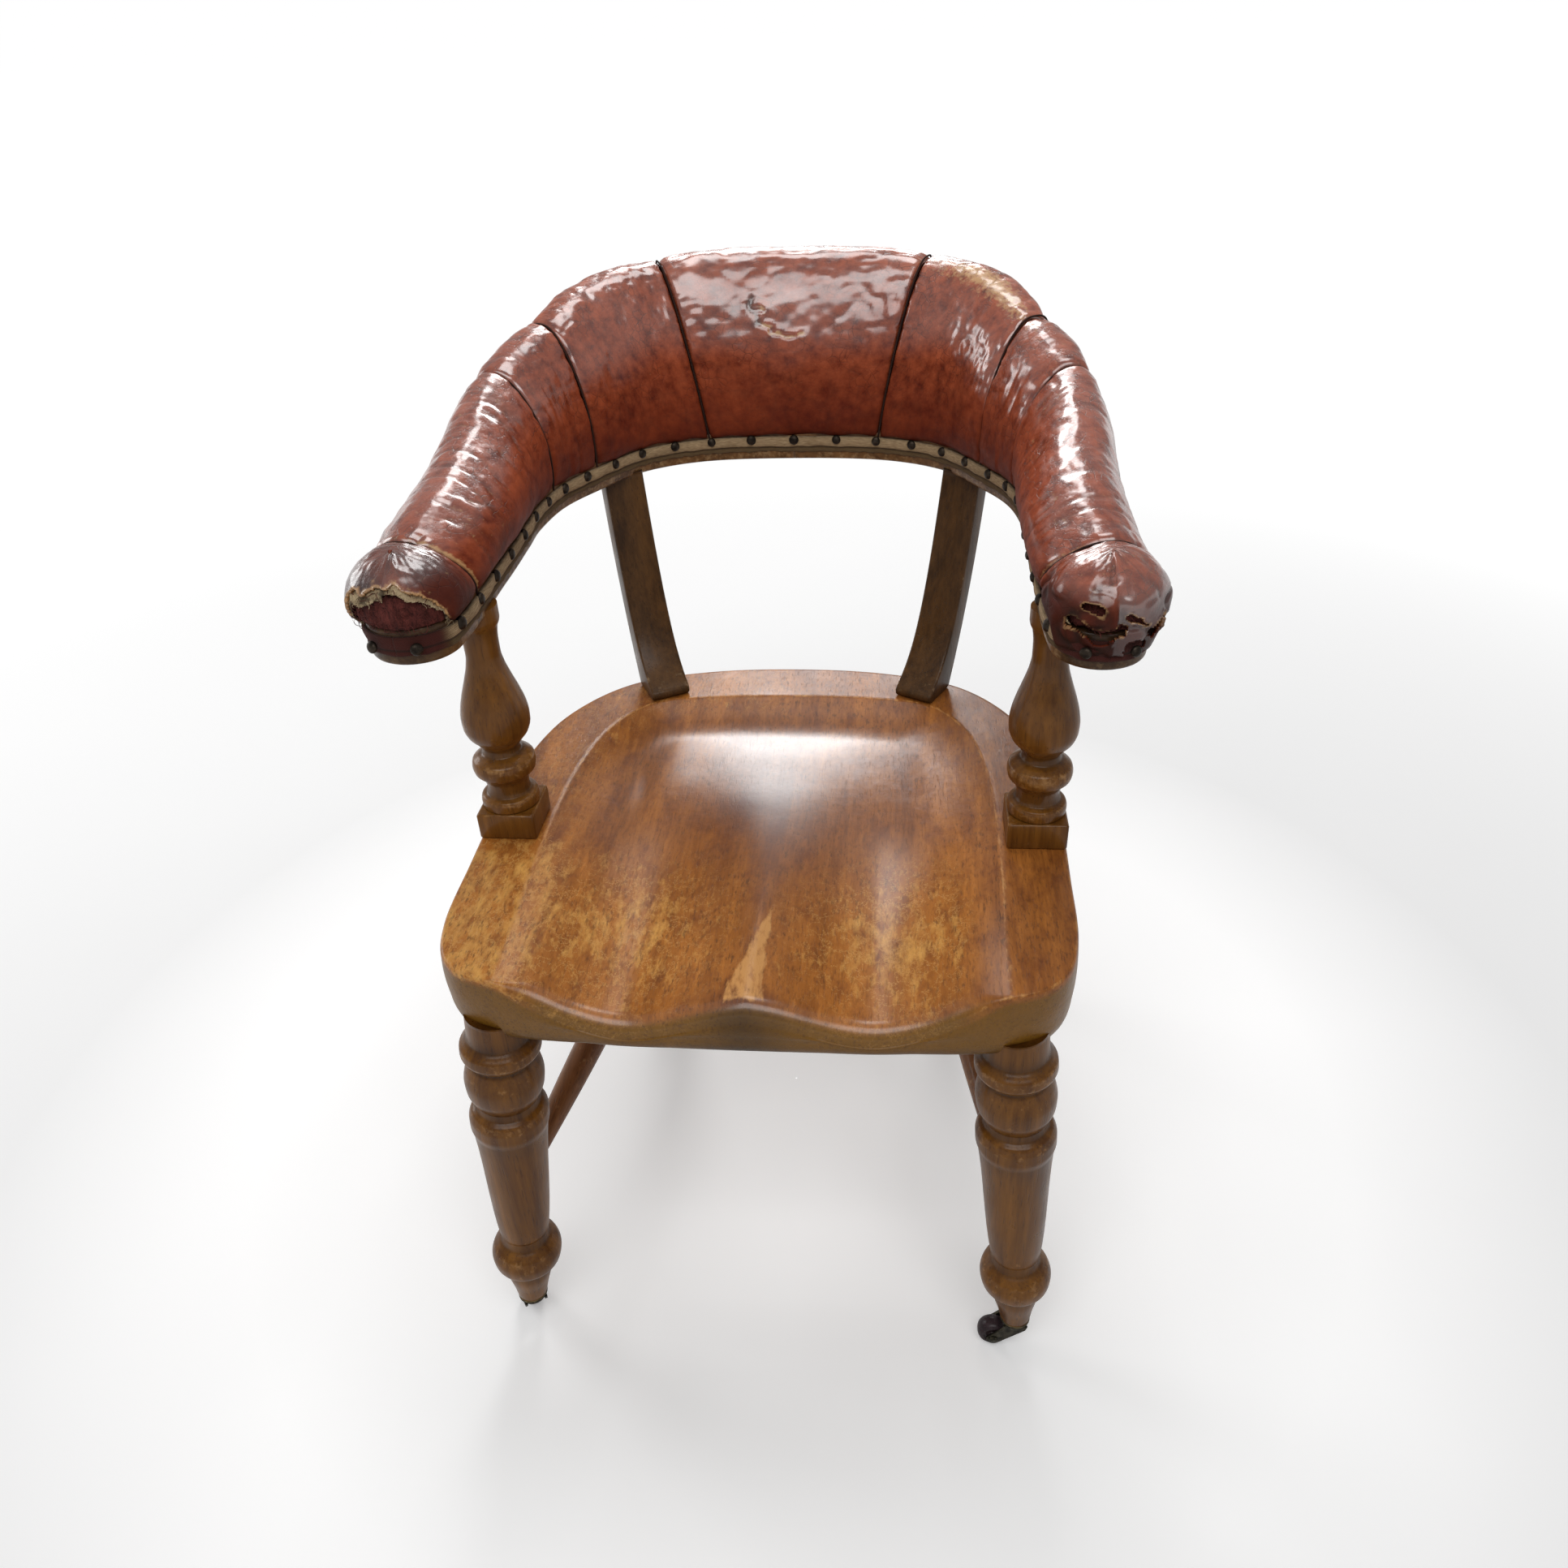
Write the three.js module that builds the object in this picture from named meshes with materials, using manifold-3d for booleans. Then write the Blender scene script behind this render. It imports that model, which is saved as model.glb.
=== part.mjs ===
// A captain's chair: a solid saddle seat on turned legs with castors, and a
// horseshoe arm rail that carries a stuffed leather roll, taller at the back.
// Millimetres, +Z up. The sitter faces -Y and the floor is z = 0.
import * as THREE from 'three';
import { mergeVertices } from 'three/addons/utils/BufferGeometryUtils.js';
import Module from 'manifold-3d';

const wasm = await Module();
wasm.setup();

// Driving sizes

const gap = 0.3; // between pieces that seat on or run in each other
const overrun = 5; // how far a cutter runs past the face that it opens

const seat = {
  topZ: 440,
  thickness: 60,
  halfWidth: 256,
  rearY: 236,
  frontY: -273,
  sideRim: 57, // the flat rim that the dish leaves at the sides, rear and front
  rearRim: 60,
  frontRim: 8,
  dishDepth: 15,
  pommelDepth: 9,
  troughDepth: 24,
  troughX: 95,
  troughStartY: 60,
  troughEndY: -240,
  shoulder: 62, // width over which the dish falls away from the rim
  edgeRadius: 8,
  underInset: 5,
  underRise: 16,
};

const tenon = { legRadius: 12.5, legLength: 32, postRadius: 10, postLength: 26, railDepth: 16 };

const castor = {
  height: 39,
  wheelRadius: 14,
  wheelWidth: 15,
  trail: 19,
  plateRadius: 13.5,
  plateThickness: 2.5,
  spikeRadius: 3.5,
  spikeLength: 26,
  pinRadius: 3.2,
  pinHeadRadius: 5.5,
  pinHeadHeight: 1.6,
  bossHeight: 6,
  cheekThickness: 2.6,
  cheekRadius: 6.5,
  axleRadius: 2.4,
  axleHeadRadius: 4.2,
  axleHeadHeight: 1.4,
};

// Legs: how far in from the seat's side (x) and end (y) their tops and feet stand.
const frontLeg = {
  endY: seat.frontY,
  topInsetX: 51,
  topInsetY: 32,
  footInsetX: 30.5,
  footInsetY: 17,
  radius: 33,
};
const rearLeg = {
  endY: seat.rearY,
  topInsetX: 126,
  topInsetY: 96,
  footInsetX: 94,
  footInsetY: 6,
  radius: 23,
};

const stretcher = {
  height: 185,
  endRadius: 8.5,
  sideRadius: 15,
  crossRadius: 13.5,
  crossY: -10,
  tenonDepth: 14,
};

const post = { sideInset: 26, frontInset: 214, blockSide: 51, blockHeight: 25, blockEdge: 1.5, radius: 28.7 };
const postX = seat.halfWidth - post.sideInset;
const postY = seat.frontY + post.frontInset;

const uprightFootShares = [0.5579, 0.8466]; // of the seat's half width and rear depth
const upright = {
  yawDegrees: 28,
  lean: 70, // rake from foot to head
  bow: 5,
  width: 41,
  thickness: 24,
  toe: 11, // how far the foot spreads ahead of the blade, and draws in behind it
  toeStart: 7,
  toeFade: 20,
  heel: 4.6,
  heelFade: 45,
  edge: 2,
  tenonWidth: 24,
  tenonThickness: 14,
  tenonLength: 22,
};

const rail = {
  bottomZ: 650,
  thickness: 30,
  halfWidth: 28,
  tipHalfWidth: 35,
  tipRun: 120, // how far before the tip the rail starts to widen
  postOverhang: 17, // centre line: how far outside the posts it runs,
  rearReach: 98, // how far behind the seat its rear centre is,
  tipSpread: 7, // and how far outside its sides and ahead of the posts it ends
  tipReach: 60,
  edge: 3,
};
const railSpanX = postX + rail.postOverhang;
const railRearY = seat.rearY + rail.rearReach;
const railTipY = postY - rail.tipReach;
const tipSteps = 5; // turns of the section round each tip
const tipTurnDegrees = 89.4; // short of a right angle, where its sides would meet

const crest = { halfThickness: 11, cover: 26, edge: 3 };

const pad = {
  backHeight: 163, // above the rail
  armHeight: 58,
  tipHeight: 47,
  skirt: 5, // how far the leather laps down the rail's sides
  skirtGap: 0.6,
  fillGap: 0.4, // between leather and stuffing
  riseStart: 40, // the roll falls from its back height to its arm height between
  riseStop: 32.3, // this distance from the rear centre and this one before the tip
  lean: 32,
  armLean: 5,
  bulgeShares: { back: 0.05, arm: 0.3, tip: 0.14 }, // of the half thickness
  leather: 2.5,
  crown: 3.2, // how much each panel swells between its seams
  crownRun: 26,
  capLength: 41.3, // from the last seam to the tip
};
const sideSeamRuns = [94, 255, 335]; // the other seams, as distances along the rail from the rear centre
const seamSlants = [0, 30, 0, 0, 30, 0]; // how much further on the rear centre, seams and tip are at the top
const panelSteps = [3, 5, 3, 7, 2]; // stations from the rear centre to each seam and to the tip

const archPowers = { back: 3.2, arm: 2.3, tip: 2.3 }; // squareness of the roll's section
const leanPower = 1.5;
const tipForwardShare = 0.2; // of the tip's reach, how far its top comes forward
const tipFallShare = 0.1; // of the roll's height, how far its sides fall round the tip

const border = { height: 16, thickness: 1.2 };

// Materials

const material = (colour, roughness, metalness = 0) =>
  new THREE.MeshStandardMaterial({ color: colour, roughness, metalness });
const seatWood = material(0x7a4322, 0.35);
const legWood = material(0x5d3c22, 0.45);
const railWood = material(0x6a4726, 0.5);
const leather = material(0x7e2b1b, 0.35);
const hair = material(0x5a3a2a, 0.95);
const tape = material(0xb09060, 0.9);
const iron = material(0x35322c, 0.45, 0.8);
const brass = material(0x6b5a34, 0.4, 0.9);
const wheelWood = material(0x2e2224, 0.4);

// Solids

const vertexTolerance = 1e-4;

function bare(geometry) {
  const copy = geometry.clone();
  copy.deleteAttribute('normal');
  copy.deleteAttribute('uv');
  return mergeVertices(copy, vertexTolerance);
}

function toSolid(geometry) {
  const merged = bare(geometry);
  return new wasm.Manifold(new wasm.Mesh({
    numProp: 3,
    vertProperties: new Float32Array(merged.attributes.position.array),
    triVerts: new Uint32Array(merged.index.array),
  }));
}

function toGeometry(solid) {
  const mesh = solid.getMesh();
  const geometry = new THREE.BufferGeometry();
  geometry.setAttribute('position', new THREE.BufferAttribute(mesh.vertProperties, 3));
  geometry.setIndex(new THREE.BufferAttribute(mesh.triVerts, 1));
  geometry.computeVertexNormals();
  return geometry;
}

function fuse(...geometries) {
  return toGeometry(geometries.map(toSolid).reduce((sum, next) => sum.add(next)));
}

// Cuts world-frame cutters out of a geometry that stands at a place.
function carve(geometry, place, cutters) {
  const standing = toSolid(geometry.clone().applyMatrix4(place));
  const cut = cutters.reduce((rest, cutter) => rest.subtract(toSolid(cutter)), standing);
  return toGeometry(cut).applyMatrix4(place.clone().invert());
}

const here = new THREE.Matrix4();

// A closed solid from rings of as many points each; flat rings are capped by
// the outline that each ring's section gives.
function loft(rings, firstCap, lastCap) {
  const across = rings[0].length;
  const positions = rings.flat().flatMap((point) => [point.x, point.y, point.z]);
  const index = [];
  for (let i = 0; i + 1 < rings.length; i += 1) {
    for (let j = 0; j < across; j += 1) {
      const next = (j + 1) % across;
      const [a, b, c, d] = [i * across + j, i * across + next, (i + 1) * across + next, (i + 1) * across + j];
      index.push(a, b, c, a, c, d);
    }
  }
  const last = (rings.length - 1) * across;
  for (const [p, q, r] of firstCap) index.push(p, r, q);
  for (const [p, q, r] of lastCap) index.push(last + p, last + q, last + r);
  return outward(positions, index);
}

function outward(positions, index) {
  let volume = 0;
  const at = (i) => new THREE.Vector3().fromArray(positions, 3 * i);
  for (let i = 0; i < index.length; i += 3) {
    volume += at(index[i]).dot(at(index[i + 1]).cross(at(index[i + 2])));
  }
  if (volume < 0) index.reverse();
  const geometry = new THREE.BufferGeometry();
  geometry.setAttribute('position', new THREE.Float32BufferAttribute(positions, 3));
  geometry.setIndex(index);
  geometry.computeVertexNormals();
  return geometry;
}

// Triangles of a flat outline, all turning the way that the outline does.
function capOf(outline) {
  const turn = Math.sign(THREE.ShapeUtils.area(outline));
  return THREE.ShapeUtils.triangulateShape(outline, []).map(([p, q, r]) =>
    Math.sign(THREE.ShapeUtils.area([outline[p], outline[q], outline[r]])) === turn ? [p, q, r] : [p, r, q]);
}

// Turned work: radii and heights as shares of a radius and a length, from the
// foot up, with a plain tenon on top of it and one below where they are given.
function turned(shares, radius, length, { topTenon, footTenon, sides }) {
  const profile = shares.map(([r, z]) => [r * radius, z * length]);
  if (footTenon) profile.unshift([footTenon.radius, -footTenon.length], [footTenon.radius, 0]);
  if (topTenon) profile.push([topTenon.radius, length], [topTenon.radius, length + topTenon.length]);
  profile.unshift([0, profile[0][1]]);
  profile.push([0, profile[profile.length - 1][1]]);
  return lathed(profile, sides).rotateX(Math.PI / 2);
}

// A profile of radii and heights turned about its own Y.
function lathed(profile, sides) {
  return new THREE.LatheGeometry(profile.map(([r, z]) => new THREE.Vector2(r, z)), sides);
}

function cylinder(radius, length, sides) {
  return new THREE.CylinderGeometry(radius, radius, length, sides).rotateX(Math.PI / 2);
}

// Stands a piece whose length runs up +Z on the line between two points.
function along(from, to) {
  const direction = to.clone().sub(from).normalize();
  const turn = new THREE.Quaternion().setFromUnitVectors(new THREE.Vector3(0, 0, 1), direction);
  return new THREE.Matrix4().compose(from, turn, new THREE.Vector3(1, 1, 1));
}

// The chair

const chair = new THREE.Group();

function place(name, geometry, look, matrix = here, parent = chair) {
  const mesh = new THREE.Mesh(geometry, look);
  mesh.name = name;
  matrix.decompose(mesh.position, mesh.quaternion, mesh.scale);
  parent.add(mesh);
  return mesh;
}

const sides = [['left', -1], ['right', 1]];
const smooth = (share) => {
  const t = Math.min(1, Math.max(0, share));
  return t * t * (3 - 2 * t);
};

// Seat: outline and dish line run from the rear centre round the right side to
// the front centre, as shares of the half width and of the rear or front depth.

const outlineShares = [
  [0, 1], [0.371, 0.966], [0.684, 0.843], [0.891, 0.568], [0.98, 0.212], [1, -0.147],
  [0.996, -0.44], [0.985, -0.72], [0.925, -0.885], [0.776, -0.962], [0.441, -0.992], [0, -1],
];
const dishShares = [
  [0, 1], [0.402, 0.983], [0.719, 0.898], [0.905, 0.597], [0.98, 0.199], [1, -0.151],
  [1, -0.453], [0.985, -0.717], [0.975, -0.86], [0.894, -0.951], [0.553, -0.989], [0, -1],
];
const undersideZ = seat.topZ - seat.thickness;
const seatSteps = 60;
const shoulderShare = 0.35; // of the dish line, to where it turns to the front
const rimShare = 0.9; // of the rim, the most that its rounded edge takes
const dishRingShares = [0.14, 0.32, 0.5, 0.66, 0.79, 0.9, 1];
const tension = 0.5; // of the curves through the points of a plan

function planCurve(shares, halfWidth, rearY, frontY) {
  const half = shares.map(([x, y]) => new THREE.Vector3(x * halfWidth, y >= 0 ? y * rearY : -y * frontY, 0));
  const leftHalf = half.slice(1, -1).reverse().map((point) => new THREE.Vector3(-point.x, point.y, 0));
  const curve = new THREE.CatmullRomCurve3([...half, ...leftHalf], true, 'catmullrom', tension);
  return curve.getPoints(seatSteps).slice(0, -1);
}

const seatOutline = planCurve(outlineShares, seat.halfWidth, seat.rearY, seat.frontY);
const dishRearY = seat.rearY - seat.rearRim;
const dishFrontY = seat.frontY + seat.frontRim;
const dishLine = planCurve(dishShares, seat.halfWidth - seat.sideRim, dishRearY, dishFrontY);

// The dish's shoulder follows the rim's inner line, which runs on past the
// front edge so that the thigh troughs open there.
const shoulderLine = (() => {
  const right = dishLine.slice(0, Math.round(seatSteps * shoulderShare));
  const ahead = new THREE.Vector3(right[right.length - 1].x, 2 * seat.frontY, 0);
  const half = [...right, ahead];
  return [...half.slice(1).reverse().map((p) => new THREE.Vector3(-p.x, p.y, 0)), ...half];
})();

function insideDish(x, y) {
  let inside = false;
  shoulderLine.forEach((a, i) => {
    const b = shoulderLine[(i + 1) % shoulderLine.length];
    if ((a.y > y) !== (b.y > y) && x < a.x + ((b.x - a.x) * (y - a.y)) / (b.y - a.y)) inside = !inside;
  });
  return inside;
}

function shoulderDistance(x, y) {
  let nearest = Infinity;
  for (let i = 0; i + 1 < shoulderLine.length; i += 1) {
    const line = new THREE.Line3(shoulderLine[i], shoulderLine[i + 1]);
    const point = new THREE.Vector3(x, y, 0);
    nearest = Math.min(nearest, line.closestPointToPoint(point, true, new THREE.Vector3()).distanceTo(point));
  }
  return nearest;
}

function seatTop(x, y) {
  if (!insideDish(x, y)) return seat.topZ;
  const fall = Math.sin((Math.PI / 2) * Math.min(1, shoulderDistance(x, y) / seat.shoulder));
  const front = smooth((seat.troughStartY - y) / (seat.troughStartY - seat.troughEndY));
  const off = Math.min(1, Math.abs(Math.abs(x) - seat.troughX) / seat.troughX);
  const trough = Math.cos((Math.PI / 2) * off) ** 2;
  const floor = seat.dishDepth + front * (seat.pommelDepth - seat.dishDepth + seat.troughDepth * trough);
  return seat.topZ - fall * floor;
}

function seatBlank() {
  const onTop = (x, y) => new THREE.Vector3(x, y, seatTop(x, y));
  const dishCentreY = (dishRearY + dishFrontY) / 2;
  const rings = dishRingShares.map((share) =>
    dishLine.map((p) => onTop(p.x * share, dishCentreY + (p.y - dishCentreY) * share)));
  const r = seat.edgeRadius;
  const slopeShare = 1 - Math.SQRT1_2;
  const edge = seatOutline.map((p, k) => {
    const inward = dishLine[k].clone().sub(p).normalize();
    const widest = dishLine[k].distanceTo(p) * rimShare;
    const inset = (distance, z) => p.clone().addScaledVector(inward, Math.min(distance, widest)).setZ(z);
    const start = inset(r, 0);
    const top = seatTop(start.x, start.y);
    return [
      inset(r, top),
      inset(r * slopeShare, top - r * slopeShare),
      inset(0, top - r),
      inset(0, undersideZ + seat.underRise),
      inset(seat.underInset * slopeShare, undersideZ + seat.underRise * slopeShare),
      inset(seat.underInset, undersideZ),
    ];
  });
  for (let level = 0; level < edge[0].length; level += 1) rings.push(edge.map((column) => column[level]));
  const flat = (ring) => capOf(ring.map((p) => new THREE.Vector2(p.x, p.y)));
  return loft(rings, flat(rings[0]), flat(rings[rings.length - 1]));
}

// Legs lean outwards from the seat to their castors.

const frontLegShares = [
  [0.409, 0], [0.485, 0.041], [0.6, 0.09], [0.636, 0.12], [0.8, 0.138], [0.91, 0.156], [0.945, 0.182],
  [0.88, 0.207], [0.742, 0.224], [0.636, 0.236], [0.62, 0.257], [0.667, 0.269], [0.94, 0.649],
  [1, 0.678], [1, 0.7], [0.924, 0.722], [0.788, 0.734], [0.773, 0.749], [0.864, 0.766], [0.964, 0.795],
  [0.988, 0.825], [0.94, 0.854], [0.848, 0.877], [0.803, 0.886], [0.909, 0.898], [0.994, 0.915],
  [0.985, 0.933], [0.879, 0.947], [0.788, 0.959], [0.773, 1.03],
];
const rearLegShares = [
  [0.587, 0], [0.66, 0.05], [0.78, 0.12], [0.87, 0.17], [0.92, 0.2], [0.85, 0.225], [0.78, 0.24],
  [0.86, 0.34], [0.97, 0.46], [1, 0.56], [0.97, 0.7], [0.89, 0.86], [0.83, 1.03],
];
const legSides = 14;
const legFootZ = castor.height;

function legEnds(leg, side) {
  const end = Math.sign(leg.endY);
  const inset = (x, y, z) => new THREE.Vector3(side * (seat.halfWidth - x), leg.endY - end * y, z);
  return {
    foot: inset(leg.footInsetX, leg.footInsetY, legFootZ),
    top: inset(leg.topInsetX, leg.topInsetY, undersideZ - gap),
  };
}

// The point on a leg's axis at a height.
function legAxis(leg, side, z) {
  const { foot, top } = legEnds(leg, side);
  return foot.lerp(top, (z - foot.z) / (top.z - foot.z));
}

function legSocket(leg, side) {
  const { foot, top } = legEnds(leg, side);
  const axis = top.clone().sub(foot).normalize();
  const depth = overrun + tenon.legLength + gap;
  const middle = top.clone().addScaledVector(axis, depth / 2 - overrun);
  const bore = cylinder(tenon.legRadius + gap, depth, legSides);
  return bore.applyMatrix4(along(middle, middle.clone().add(axis)));
}

function spikeBore(leg, side) {
  const { foot } = legEnds(leg, side);
  const depth = castor.spikeLength + gap + overrun;
  const bore = cylinder(castor.spikeRadius + gap, depth, legSides);
  return bore.translate(foot.x, foot.y, foot.z - overrun + depth / 2);
}

// A leg is sawn level on its castor's plate and under the seat.
function levelCuts(leg, side) {
  const { foot, top } = legEnds(leg, side);
  const block = 4 * leg.radius;
  return [
    new THREE.BoxGeometry(block, block, block).translate(foot.x, foot.y, foot.z + gap - block / 2),
    new THREE.BoxGeometry(block, block, block).translate(top.x, top.y, top.z + block / 2),
  ];
}

// Stretchers: one from front to rear on each side, and one across between them.

const spindleSteps = 8;
const spindleSides = 12;
const boreSides = 20; // rounder than the ends, whose flats may face any way in their bores
const swellPower = 1.2;

function spindleRadius(radius, share) {
  return stretcher.endRadius + Math.sin(Math.PI * share) ** swellPower * (radius - stretcher.endRadius);
}

function spindle(radius, length, tenonLength) {
  const shares = Array.from({ length: spindleSteps + 1 }, (_, i) => {
    const share = i / spindleSteps;
    return [spindleRadius(radius, share) / radius, share];
  });
  const end = { radius: stretcher.endRadius, length: tenonLength };
  const ends = { topTenon: end, footTenon: end, sides: spindleSides };
  return turned(shares, radius, length - 2 * tenonLength, ends).translate(0, 0, tenonLength);
}

function legRadiusAt(shares, leg, z) {
  const share = (z - legFootZ) / (undersideZ - legFootZ);
  const next = shares.findIndex(([, height]) => height > share);
  const [[r0, z0], [r1, z1]] = [shares[next - 1], shares[next]];
  return leg.radius * (r0 + ((r1 - r0) * (share - z0)) / (z1 - z0));
}

function stretcherLine(side) {
  const front = legAxis(frontLeg, side, stretcher.height);
  const rear = legAxis(rearLeg, side, stretcher.height);
  const run = rear.clone().sub(front).normalize();
  const frontIn = legRadiusAt(frontLegShares, frontLeg, stretcher.height) - stretcher.tenonDepth;
  const rearIn = legRadiusAt(rearLegShares, rearLeg, stretcher.height) - stretcher.tenonDepth;
  return { from: front.addScaledVector(run, frontIn), to: rear.addScaledVector(run, -rearIn), run };
}

function sideSwell(side) {
  const { from, to } = stretcherLine(side);
  const share = (stretcher.crossY - from.y) / (to.y - from.y);
  const centre = from.clone().lerp(to, share);
  const body = from.distanceTo(to) - 2 * stretcher.tenonDepth;
  const bodyShare = (share * from.distanceTo(to) - stretcher.tenonDepth) / body;
  return { centre, radius: spindleRadius(stretcher.sideRadius, bodyShare) };
}

function crossLine() {
  const left = sideSwell(-1);
  const right = sideSwell(1);
  const inside = right.radius - stretcher.tenonDepth;
  const from = left.centre.clone();
  const to = right.centre.clone();
  from.x += inside;
  to.x -= inside;
  return { from, to };
}

function endBore({ from, to }, depthPast) {
  const run = to.clone().sub(from).normalize();
  const start = from.clone().addScaledVector(run, -gap);
  const length = gap + depthPast;
  const middle = start.clone().addScaledVector(run, length / 2);
  const bore = cylinder(stretcher.endRadius + gap, length, boreSides);
  return bore.applyMatrix4(along(middle, middle.clone().add(run)));
}

const flipped = ({ from, to }) => ({ from: to, to: from });

// Arm posts: a square block, turned above it, with a dowel at each end.

const postShares = [
  [0.8, 0], [0.87, 0.012], [0.878, 0.035], [0.84, 0.06], [0.66, 0.076], [0.63, 0.1], [0.67, 0.14],
  [0.78, 0.17], [0.92, 0.195], [0.955, 0.225], [0.92, 0.255], [0.76, 0.276], [0.575, 0.293], [0.551, 0.316],
  [0.68, 0.35], [0.9, 0.395], [0.99, 0.44], [1, 0.478], [0.96, 0.53], [0.84, 0.6], [0.67, 0.68],
  [0.55, 0.745], [0.498, 0.8], [0.503, 0.865], [0.55, 0.925], [0.62, 0.95], [0.645, 0.97], [0.645, 0.998],
];
const postSides = 14;

function armPost(side) {
  const turnedLength = rail.bottomZ - gap - seat.topZ - gap - post.blockHeight;
  const dowel = { radius: tenon.postRadius, length: tenon.railDepth };
  const turning = turned(postShares, post.radius, turnedLength, { topTenon: dowel, sides: postSides });
  turning.translate(0, 0, post.blockHeight);
  const half = post.blockSide / 2 - post.blockEdge;
  const corners = [[-half, -half], [half, -half], [half, half], [-half, half]];
  const square = new THREE.Shape(corners.map(([x, y]) => new THREE.Vector2(x, y)));
  const block = new THREE.ExtrudeGeometry(square, {
    depth: post.blockHeight - 2 * post.blockEdge,
    bevelSize: post.blockEdge,
    bevelThickness: post.blockEdge,
    bevelSegments: 1,
    steps: 1,
  }).translate(0, 0, post.blockEdge);
  const footDowel = cylinder(tenon.postRadius, tenon.postLength + post.blockHeight / 2, postSides);
  footDowel.translate(0, 0, (post.blockHeight / 2 - tenon.postLength) / 2);
  const stand = new THREE.Matrix4().makeTranslation(side * postX, postY, seat.topZ + gap);
  return { geometry: fuse(block, footDowel, turning), stand };
}

function postSocket(side) {
  const depth = tenon.postLength + gap + overrun;
  const bore = cylinder(tenon.postRadius + gap, depth, postSides);
  return bore.translate(side * postX, postY, seat.topZ + overrun - depth / 2);
}

function postRailSocket(side) {
  const depth = tenon.railDepth + gap + overrun;
  const bore = cylinder(tenon.postRadius + gap, depth, postSides);
  return bore.translate(side * postX, postY, rail.bottomZ - overrun + depth / 2);
}

// Back uprights: sawn to a curve, raked back and turned a little outwards, with
// a toe that spreads on to the rim. Their own frame has +Y to the rear.

const uprightSteps = 9;
const uprightPower = 1.3; // closer sections near the foot, where it spreads

function uprightLean(z) {
  const share = Math.max(0, z) / (rail.bottomZ - seat.topZ);
  return upright.lean * share + upright.bow * Math.sin(Math.PI * share);
}

function uprightShape(inset, toeInset) {
  const height = rail.bottomZ - seat.topZ - 2 * gap;
  const half = upright.thickness / 2 - inset;
  const front = [];
  const back = [];
  for (let i = 0; i <= uprightSteps; i += 1) {
    const z = toeInset + (height - 2 * toeInset) * (i / uprightSteps) ** uprightPower;
    const toe = upright.toe * Math.exp(-Math.max(0, z - upright.toeStart) / upright.toeFade);
    const heel = upright.heel * Math.exp(-z / upright.heelFade);
    front.push(new THREE.Vector2(uprightLean(z) - half - toe, z));
    back.unshift(new THREE.Vector2(uprightLean(z) + half - heel, z));
  }
  return new THREE.Shape([...front, ...back]);
}

function uprightStand(side) {
  const yaw = -side * THREE.MathUtils.degToRad(upright.yawDegrees);
  const turn = new THREE.Quaternion().setFromAxisAngle(new THREE.Vector3(0, 0, 1), yaw);
  const [xShare, yShare] = uprightFootShares;
  const foot = new THREE.Vector3(side * xShare * seat.halfWidth, yShare * seat.rearY, seat.topZ + gap);
  return new THREE.Matrix4().compose(foot, turn, new THREE.Vector3(1, 1, 1));
}

// A profile in depth and height, given its width across.
function sawn(shape, width, edge) {
  const blank = new THREE.ExtrudeGeometry(shape, {
    depth: width - 2 * edge,
    bevelSize: edge,
    bevelThickness: edge,
    bevelSegments: 1,
    steps: 1,
  }).translate(0, 0, edge - width / 2);
  return blank.applyMatrix4(new THREE.Matrix4().makeBasis(
    new THREE.Vector3(0, 1, 0), new THREE.Vector3(0, 0, 1), new THREE.Vector3(1, 0, 0)));
}

function uprightTenons(spare) {
  const height = rail.bottomZ - seat.topZ - 2 * gap;
  const wide = upright.tenonWidth + 2 * spare;
  const thick = upright.tenonThickness + 2 * spare;
  const long = upright.tenonLength + spare + overrun;
  const foot = new THREE.BoxGeometry(wide, thick, long).translate(0, 0, overrun - long / 2);
  const head = new THREE.BoxGeometry(wide, thick, tenon.railDepth + spare + overrun)
    .translate(0, uprightLean(height), height - overrun + (tenon.railDepth + spare + overrun) / 2);
  return { foot, head };
}

// The arm rail's plan: its centre line from the left tip round the back to the
// right tip, as shares of the half span and of the rear or tip depth.

const railShares = [
  [1.006, -0.5], [0.994, 0], [0.996, 0.2], [0.998, 0.335],
  [0.96, 0.512], [0.868, 0.661], [0.692, 0.858], [0.405, 0.972],
];

const railCurve = (() => {
  const depthOf = (share) => (share >= 0 ? share * railRearY : -share * railTipY);
  const half = railShares.map(([x, y]) => new THREE.Vector3(x * railSpanX, depthOf(y), 0));
  half.unshift(new THREE.Vector3(railSpanX + rail.tipSpread, railTipY, 0));
  const leftHalf = half.map((point) => new THREE.Vector3(-point.x, point.y, 0));
  const rear = new THREE.Vector3(0, railRearY, 0);
  return new THREE.CatmullRomCurve3([...leftHalf, rear, ...half.reverse()], false, 'catmullrom', tension);
})();
const halfRun = railCurve.getLength() / 2;

const railTopZ = rail.bottomZ + rail.thickness;
const padBaseZ = railTopZ - pad.skirt;

// Where a distance along the rail from the rear centre lies, and which way is out.
function railFrame(run) {
  const share = (run + halfRun) / (2 * halfRun);
  const tangent = railCurve.getTangentAt(share).normalize();
  return { point: railCurve.getPointAt(share), tangent, out: new THREE.Vector3(-tangent.y, tangent.x, 0) };
}

// How far the tip has widened and rounded by a run, from 0 to 1.
const tipness = (run) => smooth((Math.abs(run) - (halfRun - rail.tipRun)) / rail.tipRun);
const railHalfWidth = (run) => rail.halfWidth + tipness(run) * (rail.tipHalfWidth - rail.halfWidth);

// Every piece along the rail has its sections at the same stations, so that
// facing skins stay parallel. A station has a run and a turn round the tip.
function spread(from, to, steps) {
  return Array.from({ length: steps + 1 }, (_, i) => from + ((to - from) * i) / steps);
}

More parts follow.
